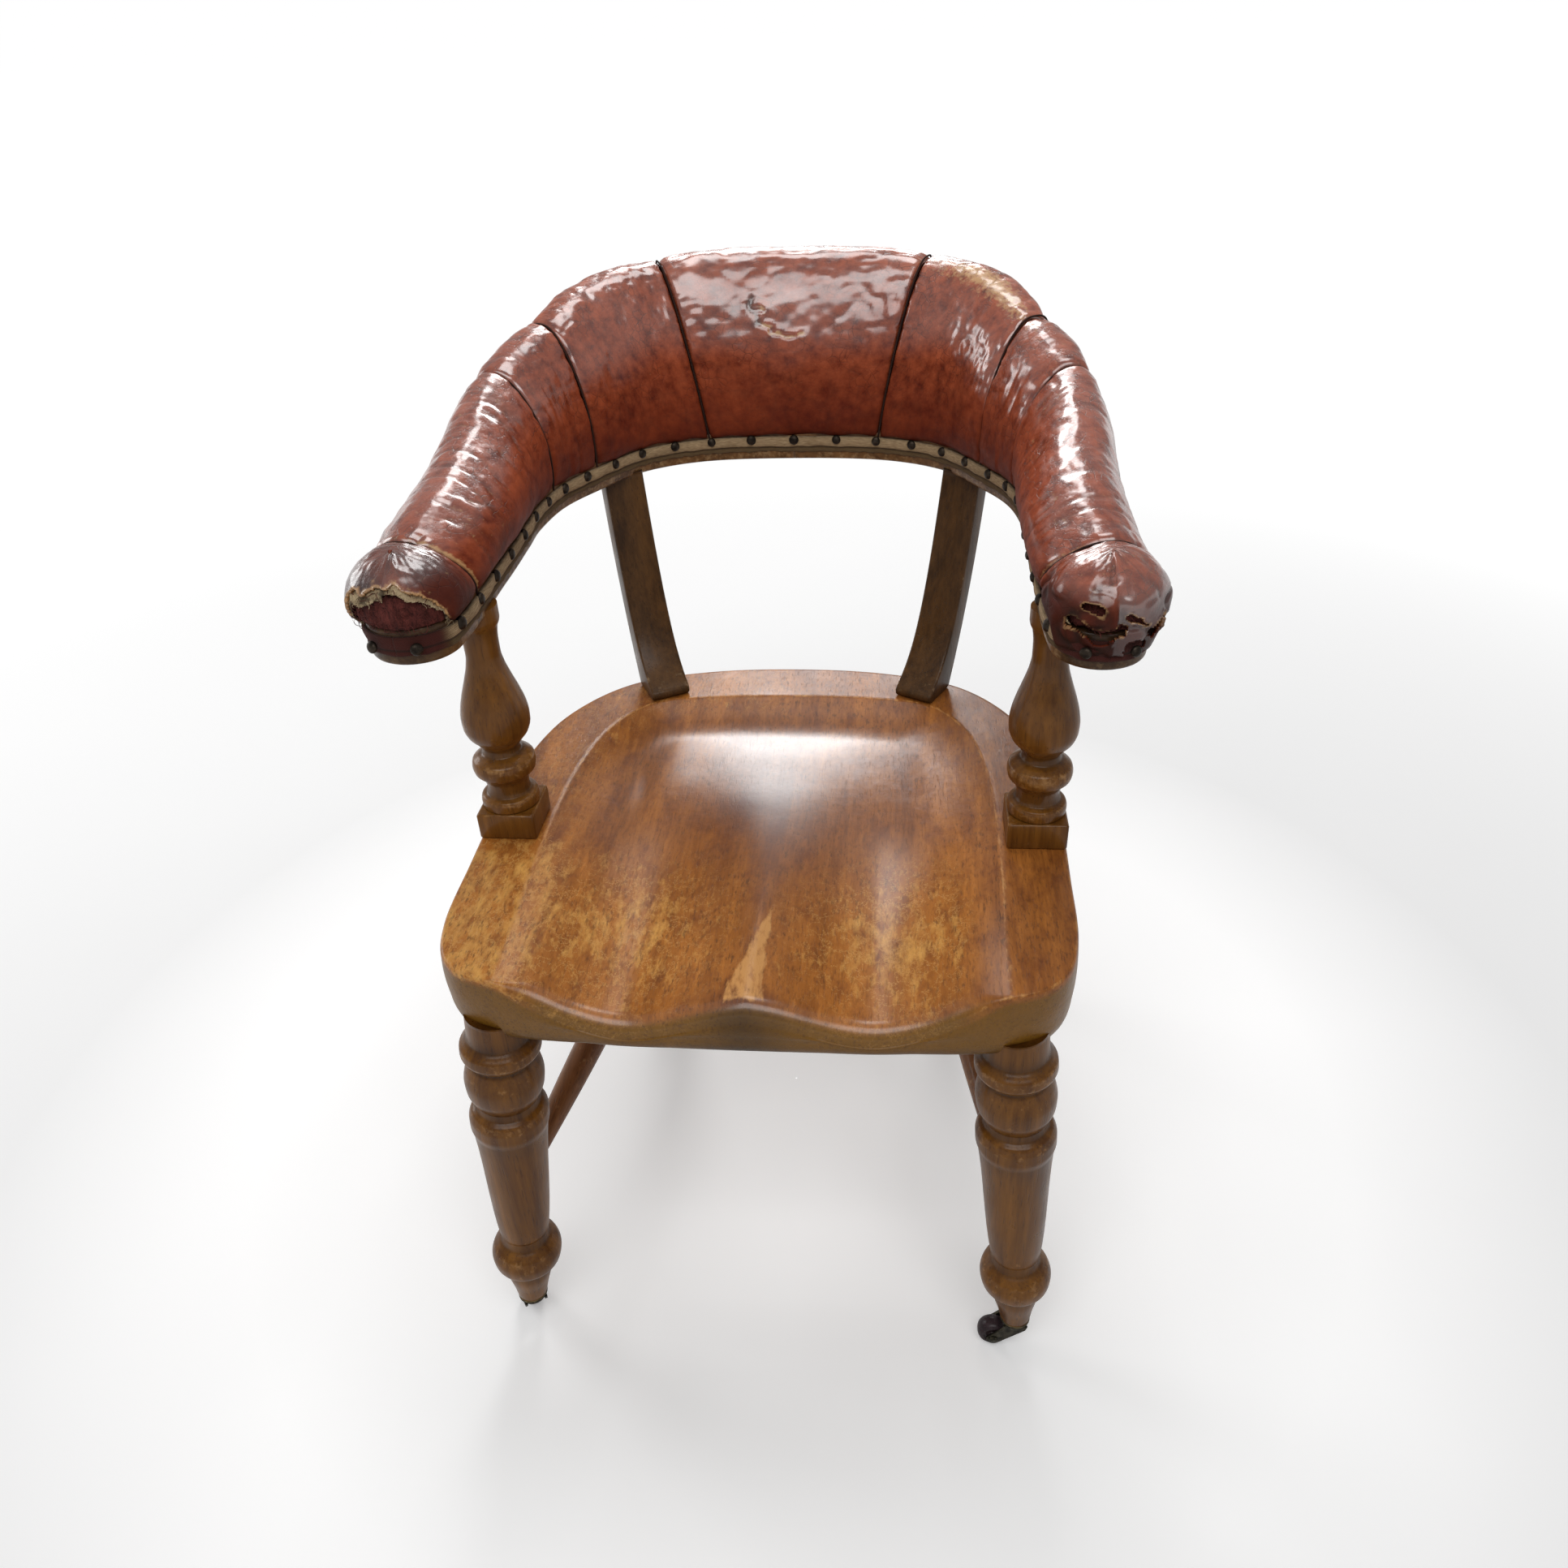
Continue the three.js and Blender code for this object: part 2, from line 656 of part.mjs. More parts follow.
const seamRuns = [...sideSeamRuns, halfRun - pad.capLength];
const panelEnds = [0, ...seamRuns, halfRun];
const tipTurns = spread(0, THREE.MathUtils.degToRad(tipTurnDegrees), tipSteps).slice(1);

// The stations of the panels from one to another, on the right-hand side.
function panelStations(first, last) {
  const runs = [panelEnds[first]];
  for (let i = first; i <= last; i += 1) {
    runs.push(...spread(panelEnds[i], panelEnds[i + 1], panelSteps[i]).slice(1));
  }
  const list = runs.map((run) => ({ run, turn: 0 }));
  if (last === panelSteps.length - 1) list.push(...tipTurns.map((turn) => ({ run: halfRun, turn })));
  return list;
}

function slantAt(run) {
  const i = Math.max(0, panelEnds.findLastIndex((end) => end < run));
  const share = (run - panelEnds[i]) / (panelEnds[i + 1] - panelEnds[i]);
  return seamSlants[i] + share * (seamSlants[i + 1] - seamSlants[i]);
}

const mirrored = (list) => list.map(({ run, turn }) => ({ run: -run, turn })).reverse();
const bothSides = (list) => [...mirrored(list).slice(0, -1), ...list];
const onSide = (side, list) => (side < 0 ? mirrored(list) : list);

// Keeps a gap between the ends of neighbours that meet at a station.
function trimmed(list, firstGap, lastGap) {
  const copy = list.map((station) => ({ ...station }));
  copy[0].run += firstGap;
  copy[copy.length - 1].run -= lastGap;
  return copy;
}

// A section's point: offset outwards from the centre line; past the tip it
// swings round an arc that reaches as far ahead as the section is wide.
function atStation({ run, turn }, offset, z, reach) {
  const rise = Math.max(0, z - padBaseZ) / (padTopZ(run) - padBaseZ);
  const { point, tangent, out } = railFrame(run + Math.sign(run) * slantAt(Math.abs(run)) * rise);
  const ahead = Math.sign(run) * Math.sin(turn) * reach;
  return point.addScaledVector(tangent, ahead).addScaledVector(out, offset * Math.cos(turn)).setZ(z);
}

// Lofts a section, given as [offset, z, reach] rows, through stations.
function railLoft(list, section) {
  const rings = list.map((station) => section(station).map((row) => atStation(station, ...row)));
  const flat = (station) => capOf(section(station).map(([offset, z]) => new THREE.Vector2(offset, z)));
  return loft(rings, flat(list[0]), flat(list[list.length - 1]));
}

function armRail(side) {
  const list = onSide(side, trimmed(panelStations(0, 4), gap / 2, 0));
  return railLoft(list, ({ run }) => {
    const wide = railHalfWidth(run);
    const flat = wide - rail.edge;
    const [low, high] = [rail.bottomZ + rail.edge, railTopZ - rail.edge];
    return [
      [-flat, rail.bottomZ, flat], [flat, rail.bottomZ, flat], [wide, low, wide], [wide, high, wide],
      [flat, railTopZ, flat], [-flat, railTopZ, flat], [-wide, high, wide], [-wide, low, wide],
    ];
  });
}

// The padded roll: an arch of leather from the inner skirt over the top to the
// outer skirt. It is tall and upright at the back and a low bolster on the arms.

const archPoints = 13;

function backness(run) {
  const share = (Math.abs(run) - pad.riseStart) / (halfRun - pad.riseStop - pad.riseStart);
  return 0.5 * (1 + Math.cos(Math.PI * Math.min(1, Math.max(0, share))));
}

// A value that changes from the back to the arm and from the arm to the tip.
function blend(run, { back, arm, tip }) {
  return arm + backness(run) * (back - arm) + tipness(run) * (tip - arm);
}

function crown(run) {
  const nearest = Math.min(...seamRuns.map((seam) => Math.abs(Math.abs(run) - seam)));
  return pad.crown * (1 - Math.exp(-nearest / pad.crownRun));
}

const padHeights = { back: pad.backHeight, arm: pad.armHeight, tip: pad.tipHeight };
const padTopZ = (run) => railTopZ + blend(run, padHeights);
const padLean = (run) => pad.armLean + backness(run) * (pad.lean - pad.armLean);

// The arch at a station, shrunk on all sides by a depth below the leather's face.
function arch({ run, turn }, depth) {
  const bulge = blend(run, pad.bulgeShares);
  const power = blend(run, archPowers);
  const half = railHalfWidth(run) + pad.skirtGap + pad.leather + crown(run) - depth;
  const height = padTopZ(run) + crown(run) - padBaseZ - depth;
  return spread(0, Math.PI, archPoints - 1).map((angle) => {
    const cos = Math.cos(angle);
    const up = Math.max(0, Math.sin(angle)) ** (2 / power);
    const swell = half * (1 + bulge * Math.sin(Math.PI * up));
    const acrossShare = Math.abs(cos) ** (2 / power);
    const reach = swell * (acrossShare + tipForwardShare * (1 - acrossShare));
    const fall = tipFallShare * acrossShare * Math.sin(turn) ** 2;
    const offset = padLean(run) * up ** leanPower - Math.sign(cos) * acrossShare * swell;
    return [offset, padBaseZ + height * up * (1 - fall), reach];
  });
}

function leatherPanel(list) {
  return railLoft(list, (station) => [...arch(station, 0), ...arch(station, pad.leather).reverse()]);
}

// The crest board stands on the rail at the back, inside the stuffing, and
// leans with it: offset and height of a point on one of its faces.
const crestFootZ = railTopZ + gap;
const crestTopZ = (run) => padTopZ(run) - crest.cover;

function crestPoint(run, half, z) {
  const topShare = (crestTopZ(run) - padBaseZ) / (padTopZ(run) - padBaseZ);
  const lean = padLean(run) * topShare ** leanPower;
  return [half + (lean * (z - crestFootZ)) / (crestTopZ(run) - crestFootZ), z, Math.abs(half)];
}

const crestStations = bothSides(panelStations(0, 2));

function crestRail() {
  const [wide, narrow] = [crest.halfThickness, crest.halfThickness - crest.edge];
  return railLoft(crestStations, ({ run }) => {
    const top = crestTopZ(run);
    const corners = [
      [-wide, crestFootZ], [-wide, top - crest.edge], [-narrow, top],
      [narrow, top], [wide, top - crest.edge], [wide, crestFootZ],
    ];
    return corners.map(([half, z]) => crestPoint(run, half, z));
  });
}

// Raises both ends of an arch along its sides to the floor that it stands on.
function standing(floor, points) {
  const raised = ([x0, z0, reach0], [x1, z1, reach1]) => {
    const share = (floor - z0) / (z1 - z0);
    return [x0 + share * (x1 - x0), floor, reach0 + share * (reach1 - reach0)];
  };
  const last = points.length - 1;
  return [raised(points[0], points[1]), ...points.slice(1, last), raised(points[last], points[last - 1])];
}

// Stuffing fills the leather down to the rail and, at the back, straddles the
// crest board. Its points run the way that the leather's inner face and the
// crest board's do, so that their facets are cut the same way.
function stuffing(list, slotted) {
  return railLoft(list, (station) => {
    const skin = standing(crestFootZ, arch(station, pad.leather + pad.fillGap)).reverse();
    if (!slotted) return skin;
    const half = crest.halfThickness + gap;
    const top = crestTopZ(station.run) + gap;
    const slot = [[-half, crestFootZ], [-half, top], [half, top], [half, crestFootZ]];
    return [...skin, ...slot.map(([offset, z]) => crestPoint(station.run, offset, z))];
  });
}

// The border tape covers the rail's face below the leather, inside and outside.
function borderTape(face) {
  const top = padBaseZ - gap;
  return railLoft(bothSides(panelStations(0, 4)), ({ run }) => {
    const near = railHalfWidth(run) + gap;
    const far = near + border.thickness;
    return [[near, top - border.height], [far, top - border.height], [far, top], [near, top]]
      .map(([offset, z]) => [face * offset, z, offset]);
  });
}

// Castors: a plate with a spike and a riveted pin, a horn that swivels on the
// pin, and a wheel on an axle behind it.

const castorSides = 12;
const wheelSides = 16;
const axleSides = 8;
const cheekSegments = 4;
const hornShares = { bossFoot: 0.82, top: 0.8, waist: 0.7, heel: 0.8, under: 0.6 };
const wheelShares = [[0.72, 1], [0.92, 0.8], [1, 0.4]]; // of the wheel's radius and half width
const pinHeadZ = castor.height - castor.plateThickness - gap - castor.bossHeight - gap;

function castorPlate() {
  const { height, plateRadius, spikeRadius, spikeLength, pinRadius, pinHeadRadius } = castor;
  const plateZ = height - castor.plateThickness;
  const profile = [
    [0, pinHeadZ - castor.pinHeadHeight], [pinHeadRadius, pinHeadZ - castor.pinHeadHeight],
    [pinHeadRadius, pinHeadZ], [pinRadius, pinHeadZ], [pinRadius, plateZ], [plateRadius, plateZ],
    [plateRadius, height], [spikeRadius, height], [spikeRadius, height + spikeLength / 2],
    [0, height + spikeLength],
  ];
  return lathed(profile, castorSides).rotateX(Math.PI / 2);
}

function castorHorn() {
  const { plateRadius, bossHeight, wheelWidth, cheekThickness, cheekRadius, trail, wheelRadius } = castor;
  const top = castor.height - castor.plateThickness - gap;
  const low = top - bossHeight;
  const bossFoot = plateRadius * hornShares.bossFoot;
  const boss = lathed([[0, low], [bossFoot, low], [plateRadius, top], [0, top]], castorSides);
  boss.rotateX(Math.PI / 2);
  const inside = wheelWidth / 2 + 2 * gap;
  const shape = new THREE.Shape();
  shape.moveTo(plateRadius * hornShares.top, top - bossHeight / 4);
  shape.lineTo(plateRadius * hornShares.waist, low);
  shape.lineTo(-trail + cheekRadius * hornShares.heel, wheelRadius - cheekRadius * hornShares.under);
  shape.absarc(-trail, wheelRadius, cheekRadius, -Math.PI / 4, -Math.PI, true);
  shape.lineTo(-plateRadius * hornShares.top, low);
  shape.lineTo(-plateRadius * hornShares.top, top - bossHeight / 4);
  const plain = { depth: cheekThickness, bevelEnabled: false, curveSegments: cheekSegments, steps: 1 };
  const cheek = (at) => new THREE.ExtrudeGeometry(shape, plain).rotateX(Math.PI / 2).translate(0, at, 0);
  const cheeks = [cheek(-inside), cheek(inside + cheekThickness)];
  const pinBore = cylinder(castor.pinRadius + gap, 2 * top, castorSides);
  const axleBore = cylinder(castor.axleRadius + gap, 3 * wheelWidth, castorSides);
  axleBore.rotateX(Math.PI / 2).translate(-trail, 0, wheelRadius);
  return carve(fuse(boss, ...cheeks), here, [pinBore, axleBore]);
}

function castorWheel() {
  const { wheelRadius, wheelWidth, axleRadius } = castor;
  const bore = axleRadius + gap;
  const half = wheelWidth / 2;
  const tread = wheelShares.map(([r, z]) => [r * wheelRadius, z * half]);
  const under = tread.map(([r, z]) => [r, -z]);
  const profile = [[bore, -half], ...under, ...tread.reverse(), [bore, half], [bore, -half]];
  return lathed(profile, wheelSides);
}

function castorAxle() {
  const { axleRadius, axleHeadRadius, axleHeadHeight, wheelWidth, cheekThickness } = castor;
  const shaft = wheelWidth / 2 + 2 * gap + cheekThickness + gap;
  const end = shaft + axleHeadHeight;
  const profile = [
    [0, -end], [axleHeadRadius, -end], [axleHeadRadius, -shaft], [axleRadius, -shaft],
    [axleRadius, shaft], [axleHeadRadius, shaft], [axleHeadRadius, end], [0, end],
  ];
  return lathed(profile, axleSides);
}

// Assembly

const uprightHeads = sides.map(([, side]) => uprightTenons(gap).head.applyMatrix4(uprightStand(side)));
const seatCuts = sides.flatMap(([, side]) => [
  legSocket(frontLeg, side),
  legSocket(rearLeg, side),
  postSocket(side),
  uprightTenons(gap).foot.applyMatrix4(uprightStand(side)),
]);
place('seat', carve(seatBlank(), here, seatCuts), seatWood);

function placeLeg(name, leg, shares, side, bores) {
  const { foot, top } = legEnds(leg, side);
  const stand = along(foot, top);
  const length = foot.distanceTo(top);
  const blank = turned(shares, leg.radius, length, { sides: legSides });
  const body = carve(blank, stand, [...levelCuts(leg, side), spikeBore(leg, side), ...bores]);
  const pin = cylinder(tenon.legRadius, 2 * tenon.legLength, legSides).translate(0, 0, length);
  place(name, fuse(body, pin), legWood, stand);
}

function placeStretcher(name, line, radius, bores) {
  const stand = along(line.from, line.to);
  const blank = spindle(radius, line.from.distanceTo(line.to), stretcher.tenonDepth);
  place(name, bores.length ? carve(blank, stand, bores) : blank, legWood, stand);
}

const cross = crossLine();
placeStretcher('cross_stretcher', cross, stretcher.crossRadius, []);

const castorAngles = { front_left: -60, front_right: 0, rear_left: -30, rear_right: -150 };

function placeCastor(corner, leg, side) {
  const group = new THREE.Group();
  const { foot } = legEnds(leg, side);
  group.position.set(foot.x, foot.y, 0);
  chair.add(group);
  place(`castor_plate_${corner}`, castorPlate(), brass, here, group);
  const swivel = new THREE.Group();
  swivel.rotation.z = THREE.MathUtils.degToRad(castorAngles[corner]);
  group.add(swivel);
  place(`castor_horn_${corner}`, castorHorn(), iron, here, swivel);
  const hub = new THREE.Matrix4().makeTranslation(-castor.trail, 0, castor.wheelRadius);
  place(`castor_wheel_${corner}`, castorWheel(), wheelWood, hub, swivel);
  place(`castor_axle_${corner}`, castorAxle(), iron, hub, swivel);
}

for (const [word, side] of sides) {
  const line = stretcherLine(side);
  const depth = stretcher.tenonDepth + overrun;
  placeLeg(`front_leg_${word}`, frontLeg, frontLegShares, side, [endBore(line, depth)]);
  placeLeg(`rear_leg_${word}`, rearLeg, rearLegShares, side, [endBore(flipped(line), depth)]);
  const crossEnd = endBore(side < 0 ? cross : flipped(cross), depth);
  placeStretcher(`side_stretcher_${word}`, line, stretcher.sideRadius, [crossEnd]);

  const { geometry, stand } = armPost(side);
  place(`arm_post_${word}`, geometry, legWood, stand);

  const tenons = uprightTenons(0);
  const body = sawn(uprightShape(upright.edge, upright.edge), upright.width, upright.edge);
  place(`back_upright_${word}`, fuse(body, tenons.foot, tenons.head), legWood, uprightStand(side));

  const head = uprightHeads[side < 0 ? 0 : 1];
  place(`arm_rail_${word}`, carve(armRail(side), here, [postRailSocket(side), head]), railWood);

  placeCastor(`front_${word}`, frontLeg, side);
  placeCastor(`rear_${word}`, rearLeg, side);
}

place('crest_rail', crestRail(), railWood);
place('border_tape_inner', borderTape(-1), tape);
place('border_tape_outer', borderTape(1), tape);

place('back_stuffing', stuffing(crestStations, true), hair);
place('back_leather', leatherPanel(trimmed(bothSides(panelStations(0, 0)), gap / 2, gap / 2)), leather);
const panels = ['back', 'shoulder', 'elbow', 'arm', 'cap'];
for (const [word, side] of sides) {
  const armStations = trimmed(panelStations(3, 4).slice(0, -1), gap, 0);
  place(`arm_stuffing_${word}`, stuffing(onSide(side, armStations), false), hair);
  for (let panel = 1; panel < panels.length; panel += 1) {
    const list = trimmed(panelStations(panel, panel), gap / 2, panel + 1 < panels.length ? gap / 2 : 0);
    place(`${panels[panel]}_leather_${word}`, leatherPanel(onSide(side, list)), leather);
  }
}

// The origin stands on the floor under the middle of the chair's bounding box.
const whole = new THREE.Group();
whole.add(chair);
whole.updateMatrixWorld(true);
const bounds = new THREE.Box3().setFromObject(chair, true);
chair.position.y = -(bounds.min.y + bounds.max.y) / 2;

export default whole;
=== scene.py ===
"""A captain's chair: dished seat, turned legs on castors, and a stuffed leather roll on a horseshoe rail."""

import itertools
import math

import bmesh
import bpy
import numpy as np
from mathutils import Matrix, Vector


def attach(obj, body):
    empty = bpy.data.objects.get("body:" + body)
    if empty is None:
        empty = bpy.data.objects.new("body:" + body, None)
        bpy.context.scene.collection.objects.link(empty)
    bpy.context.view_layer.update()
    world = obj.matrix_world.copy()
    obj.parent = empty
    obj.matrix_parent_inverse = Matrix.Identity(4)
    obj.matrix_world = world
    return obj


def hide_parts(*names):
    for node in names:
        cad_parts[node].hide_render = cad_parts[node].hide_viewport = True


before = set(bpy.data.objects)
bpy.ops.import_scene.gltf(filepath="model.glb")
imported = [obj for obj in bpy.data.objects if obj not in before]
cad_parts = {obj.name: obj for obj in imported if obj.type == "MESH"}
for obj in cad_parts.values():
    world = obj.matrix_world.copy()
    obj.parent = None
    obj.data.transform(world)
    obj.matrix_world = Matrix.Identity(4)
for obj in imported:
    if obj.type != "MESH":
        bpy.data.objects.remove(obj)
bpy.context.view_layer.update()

MM = 0.001
CHAIR_Y = -50.52  # the chair's own zero in the shared frame; sizes here are millimetres
CHAIR = "chair_frame"
SIDES = {"left": -1, "right": 1}
WELD = 1e-6  # metres


# Camera

CAMERA_PLACE = (0.1083, -0.956, 1.0576)
YAW, PITCH, ROLL = (math.radians(angle) for angle in (5.68, -33.02, -2.28))
LENS = dict(sensor_width=36, lens=27.28, shift_x=-0.0072, shift_y=-0.0112)


def shown(name, data):
    """A new object in the scene."""
    made = bpy.data.objects.new(name, data)
    bpy.context.scene.collection.objects.link(made)
    return made


def stand_camera():
    ahead = Vector((-math.sin(YAW) * math.cos(PITCH), math.cos(YAW) * math.cos(PITCH), math.sin(PITCH)))
    level = Vector((math.cos(YAW), math.sin(YAW), 0))
    upright = level.cross(ahead)
    right = math.cos(ROLL) * level + math.sin(ROLL) * upright
    up = math.cos(ROLL) * upright - math.sin(ROLL) * level
    lens = bpy.data.cameras.new("photograph view")
    for name, value in LENS.items():
        setattr(lens, name, value)
    eye = shown("photograph view", lens)
    eye.matrix_world = Matrix.Translation(CAMERA_PLACE) @ Matrix((right, up, -ahead)).transposed().to_4x4()
    bpy.context.scene.camera = eye


stand_camera()


# Numbers


def ease(share):
    share = np.clip(share, 0, 1)
    return share * share * (3 - 2 * share)


def bell(value, width):
    """1 where a value is 0, and next to nothing two widths away."""
    return np.exp(-((value / width) ** 2))


def fading(distance, reach):
    return np.exp(-distance / reach)


def spot(x, y, centre, reach):
    """A soft oval spot on the plan, 1 at its centre."""
    return np.exp(-(((x - centre[0]) / reach[0]) ** 2) - (((y - centre[1]) / reach[1]) ** 2))


def lumps(points, size, seed):
    """Smooth noise from -1 to 1 in lumps of about a size."""
    places = np.asarray(points, float) / size + seed * 17.31
    cell = np.floor(places).astype(np.int64)
    inside = places - cell
    inside = inside * inside * (3 - 2 * inside)
    total = 0
    for corner in itertools.product((0, 1), repeat=places.shape[-1]):
        key = np.zeros(places.shape[:-1], np.int64)
        weight = 1
        for axis, step in enumerate(corner):
            key = key * 73856093 + (cell[..., axis] + step) * (19349663 + 2 * axis)
            weight = weight * (inside[..., axis] if step else 1 - inside[..., axis])
        key = ((key ^ (key >> 15)) * 2246822519) & 0xFFFFFFFF
        key = ((key ^ (key >> 13)) * 3266489917) & 0xFFFFFFFF
        total = total + weight * ((key ^ (key >> 16)) / 0x7FFFFFFF - 1)
    return total


def creases(points, size, seed, width):
    """From 0 to 1, with sharp lines of 1 winding between lumps of a size."""
    return bell(lumps(points, size, seed), width)


def drift(points, size, first_seed, second_seed):
    """Smooth noise in two directions at once."""
    return np.stack([lumps(points, size, first_seed), lumps(points, size, second_seed)], -1)


def along_line(values):
    """Values on a line as points of a plane, for noise that runs along it."""
    return np.stack([values, 0 * values], -1)


def eased_line(stops, values, places):
    """A smooth line through values at stops that never swings past them."""
    stops, values = np.asarray(stops, float), np.asarray(values, float)
    run = np.diff(stops)
    slope = np.diff(values) / run
    tangent = np.concatenate([[slope[0]], np.zeros(len(values) - 2), [slope[-1]]])
    same = slope[:-1] * slope[1:] > 0
    mean = 2 * slope[:-1] * slope[1:] / np.where(same, slope[:-1] + slope[1:], 1)
    tangent[1:-1] = np.where(same, mean, 0)
    i = np.clip(np.searchsorted(stops, places, side="right") - 1, 0, len(run) - 1)
    t = (places - stops[i]) / run[i]
    start, end = (1 + 2 * t) * (1 - t) ** 2, t * t * (3 - 2 * t)
    rise, fall = t * (1 - t) ** 2, t * t * (t - 1)
    return start * values[i] + end * values[i + 1] + run[i] * (rise * tangent[i] + fall * tangent[i + 1])


def smooth_path(points, steps, closed):
    """Points and directions of a smooth curve through points, so many steps to each stretch."""
    points = np.asarray(points, float)
    if closed:
        padded = np.vstack([points[-1:], points, points[:2]])
    else:
        padded = np.vstack([2 * points[0] - points[1], points, 2 * points[-1] - points[-2]])
    t = np.linspace(0, 1, steps, endpoint=False)[:, None]
    places, ways = [], []
    for before, start, end, after in zip(padded, padded[1:], padded[2:], padded[3:]):
        leave, arrive = (end - before) / 2, (after - start) / 2
        cubic = 2 * start - 2 * end + leave + arrive
        square = 3 * end - 3 * start - 2 * leave - arrive
        places.append(((cubic * t + square) * t + leave) * t + start)
        ways.append((3 * cubic * t + 2 * square) * t + leave)
    if not closed:
        places.append(points[-1:])
        ways.append(ways[-1][-1:])
    ways = np.vstack(ways)
    return np.vstack(places), ways / np.linalg.norm(ways, axis=1, keepdims=True)


# Meshes


def net(rows, columns, around=False):
    """The faces of a net of points, row by row; around joins its last column to its first."""
    index = np.arange(rows * columns).reshape(rows, columns)
    left = index if around else index[:, :-1]
    right = np.roll(index, -1, axis=1) if around else index[:, 1:]
    return np.stack([left[:-1], right[:-1], right[1:], left[1:]], -1).reshape(-1, 4).tolist()


def in_frame(points):
    return ((np.asarray(points, float) + (0, CHAIR_Y, 0)) * MM).tolist()


def build(name, points, faces, look, replaces=(), body=CHAIR, marks=None, flat=None, sharp=None):
    """A piece from points in the chair's frame; marks are values at its points, and flat is its own map."""
    mesh = bpy.data.meshes.new(name)
    mesh.from_pydata(in_frame(points), [], faces)
    for mark, values in (marks or {}).items():
        layer = mesh.attributes.new(mark, "FLOAT", "POINT")
        layer.data.foreach_set("value", np.asarray(values, np.float32).ravel())
    if flat is not None:
        corners = np.zeros(len(mesh.loops), np.int32)
        mesh.loops.foreach_get("vertex_index", corners)
        layer = mesh.uv_layers.new(name="flat")
        layer.data.foreach_set("uv", (np.asarray(flat, float) * MM)[corners].astype(np.float32).ravel())
    form = bmesh.new()
    form.from_mesh(mesh)
    bmesh.ops.remove_doubles(form, verts=form.verts, dist=WELD)
    if form.calc_volume(signed=True) < 0:
        bmesh.ops.reverse_faces(form, faces=form.faces)
    form.to_mesh(mesh)
    form.free()
    mesh.shade_smooth()
    if sharp is not None:
        mesh.set_sharp_from_angle(angle=math.radians(sharp))
    mesh.materials.append(look)
    return finished(shown(name, mesh), body, replaces)


def finished(piece, body=CHAIR, replaces=()):
    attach(piece, body)
    if replaces:
        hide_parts(*replaces)
    return piece


def tube_net(rings, last_cap=True):
    """Points and faces of a solid through closed rings of as many points each."""
    rows, columns = rings.shape[:2]
    faces = net(rows, columns, around=True)
    faces.append(list(range(columns)))
    if last_cap:
        faces.append(list(range((rows - 1) * columns, rows * columns))[::-1])
    return rings.reshape(-1, 3), faces


def hoop_net(rings):
    """Points and faces of rings whose last is joined to the first."""
    rows, columns = rings.shape[:2]
    last, ring = (rows - 1) * columns, np.arange(columns)
    following = np.roll(ring, -1)
    closing = np.stack([last + ring, last + following, following, ring], -1).tolist()
    return rings.reshape(-1, 3), net(rows, columns, around=True) + closing


def joined(parts):
    """Several sets of points and faces as one."""
    points, faces, count = [], [], 0
    for part_points, part_faces in parts:
        points.append(part_points)
        faces += [[corner + count for corner in face] for face in part_faces]
        count += len(part_points)
    return np.vstack(points), faces


def swung(points, centre, degrees):
    """Points turned about an upright axis, then moved."""
    turn = math.radians(degrees)
    spin = np.array([[math.cos(turn), -math.sin(turn), 0], [math.sin(turn), math.cos(turn), 0], [0, 0, 1]])
    return points @ spin.T + centre


def corner_ways(steps):
    """Round a rectangle: each point's corner, and its direction from the middle of that corner."""
    ways = []
    for quarter, (across, along) in enumerate(((1, 1), (-1, 1), (-1, -1), (1, -1))):
        for angle in np.linspace(0, math.pi / 2, steps) + quarter * math.pi / 2:
            ways.append((across, along, math.cos(angle), math.sin(angle)))
    return np.array(ways).T


def plain_mesh(piece):
    """Swaps a piece's modifiers for their result."""
    bpy.context.view_layer.update()
    seen = piece.evaluated_get(bpy.context.evaluated_depsgraph_get())
    mesh = bpy.data.meshes.new_from_object(seen)
    piece.modifiers.clear()
    piece.data = mesh
    return piece


# Shader helpers


def plug_in(tree, socket, value):
    if isinstance(value, bpy.types.NodeSocket):
        tree.links.new(value, socket)
    elif socket.type == "RGBA" and len(value) == 3:
        socket.default_value = (*value, 1)
    else:
        socket.default_value = value


def plug_all(tree, node, values):
    """Sets a node's inputs, by name or place, each to a value or to another node's output."""
    for name, value in values.items():
        plug_in(tree, node.inputs[name.replace("_", " ") if isinstance(name, str) else name], value)


def step(tree, kind, modes=None, **inputs):
    """A node with its modes and inputs set."""
    made = tree.nodes.new(kind)
    for mode, value in (modes or {}).items():
        setattr(made, mode, value)
    plug_all(tree, made, inputs)
    return made


def add(tree, kind, modes=None, **inputs):
    return step(tree, "ShaderNode" + kind, modes, **inputs)


def mix(tree, share, first, second, mode="MIX"):
    made = add(tree, "Mix", {"data_type": "RGBA", "blend_type": mode})
    plug_all(tree, made, {0: share, 6: first, 7: second})
    return made.outputs[2]


def mix_value(tree, share, first, second):
    made = add(tree, "Mix")
    plug_all(tree, made, {0: share, 2: first, 3: second})
    return made.outputs[0]


def sum_up(tree, operation, *values, held=False):
    made = add(tree, "Math", {"operation": operation, "use_clamp": held})
    plug_all(tree, made, dict(enumerate(values)))
    return made.outputs[0]


def times(tree, *values, held=False):
    return sum_up(tree, "MULTIPLY", *values, held=held)


def weighed(tree, first, first_share, second, second_share):
    return sum_up(tree, "ADD", times(tree, first, first_share), times(tree, second, second_share))


def ranged(tree, value, low, high, start=0.0, end=1.0):
    made = add(tree, "MapRange", Value=value, From_Min=low, From_Max=high, To_Min=start, To_Max=end)
    return made.outputs[0]


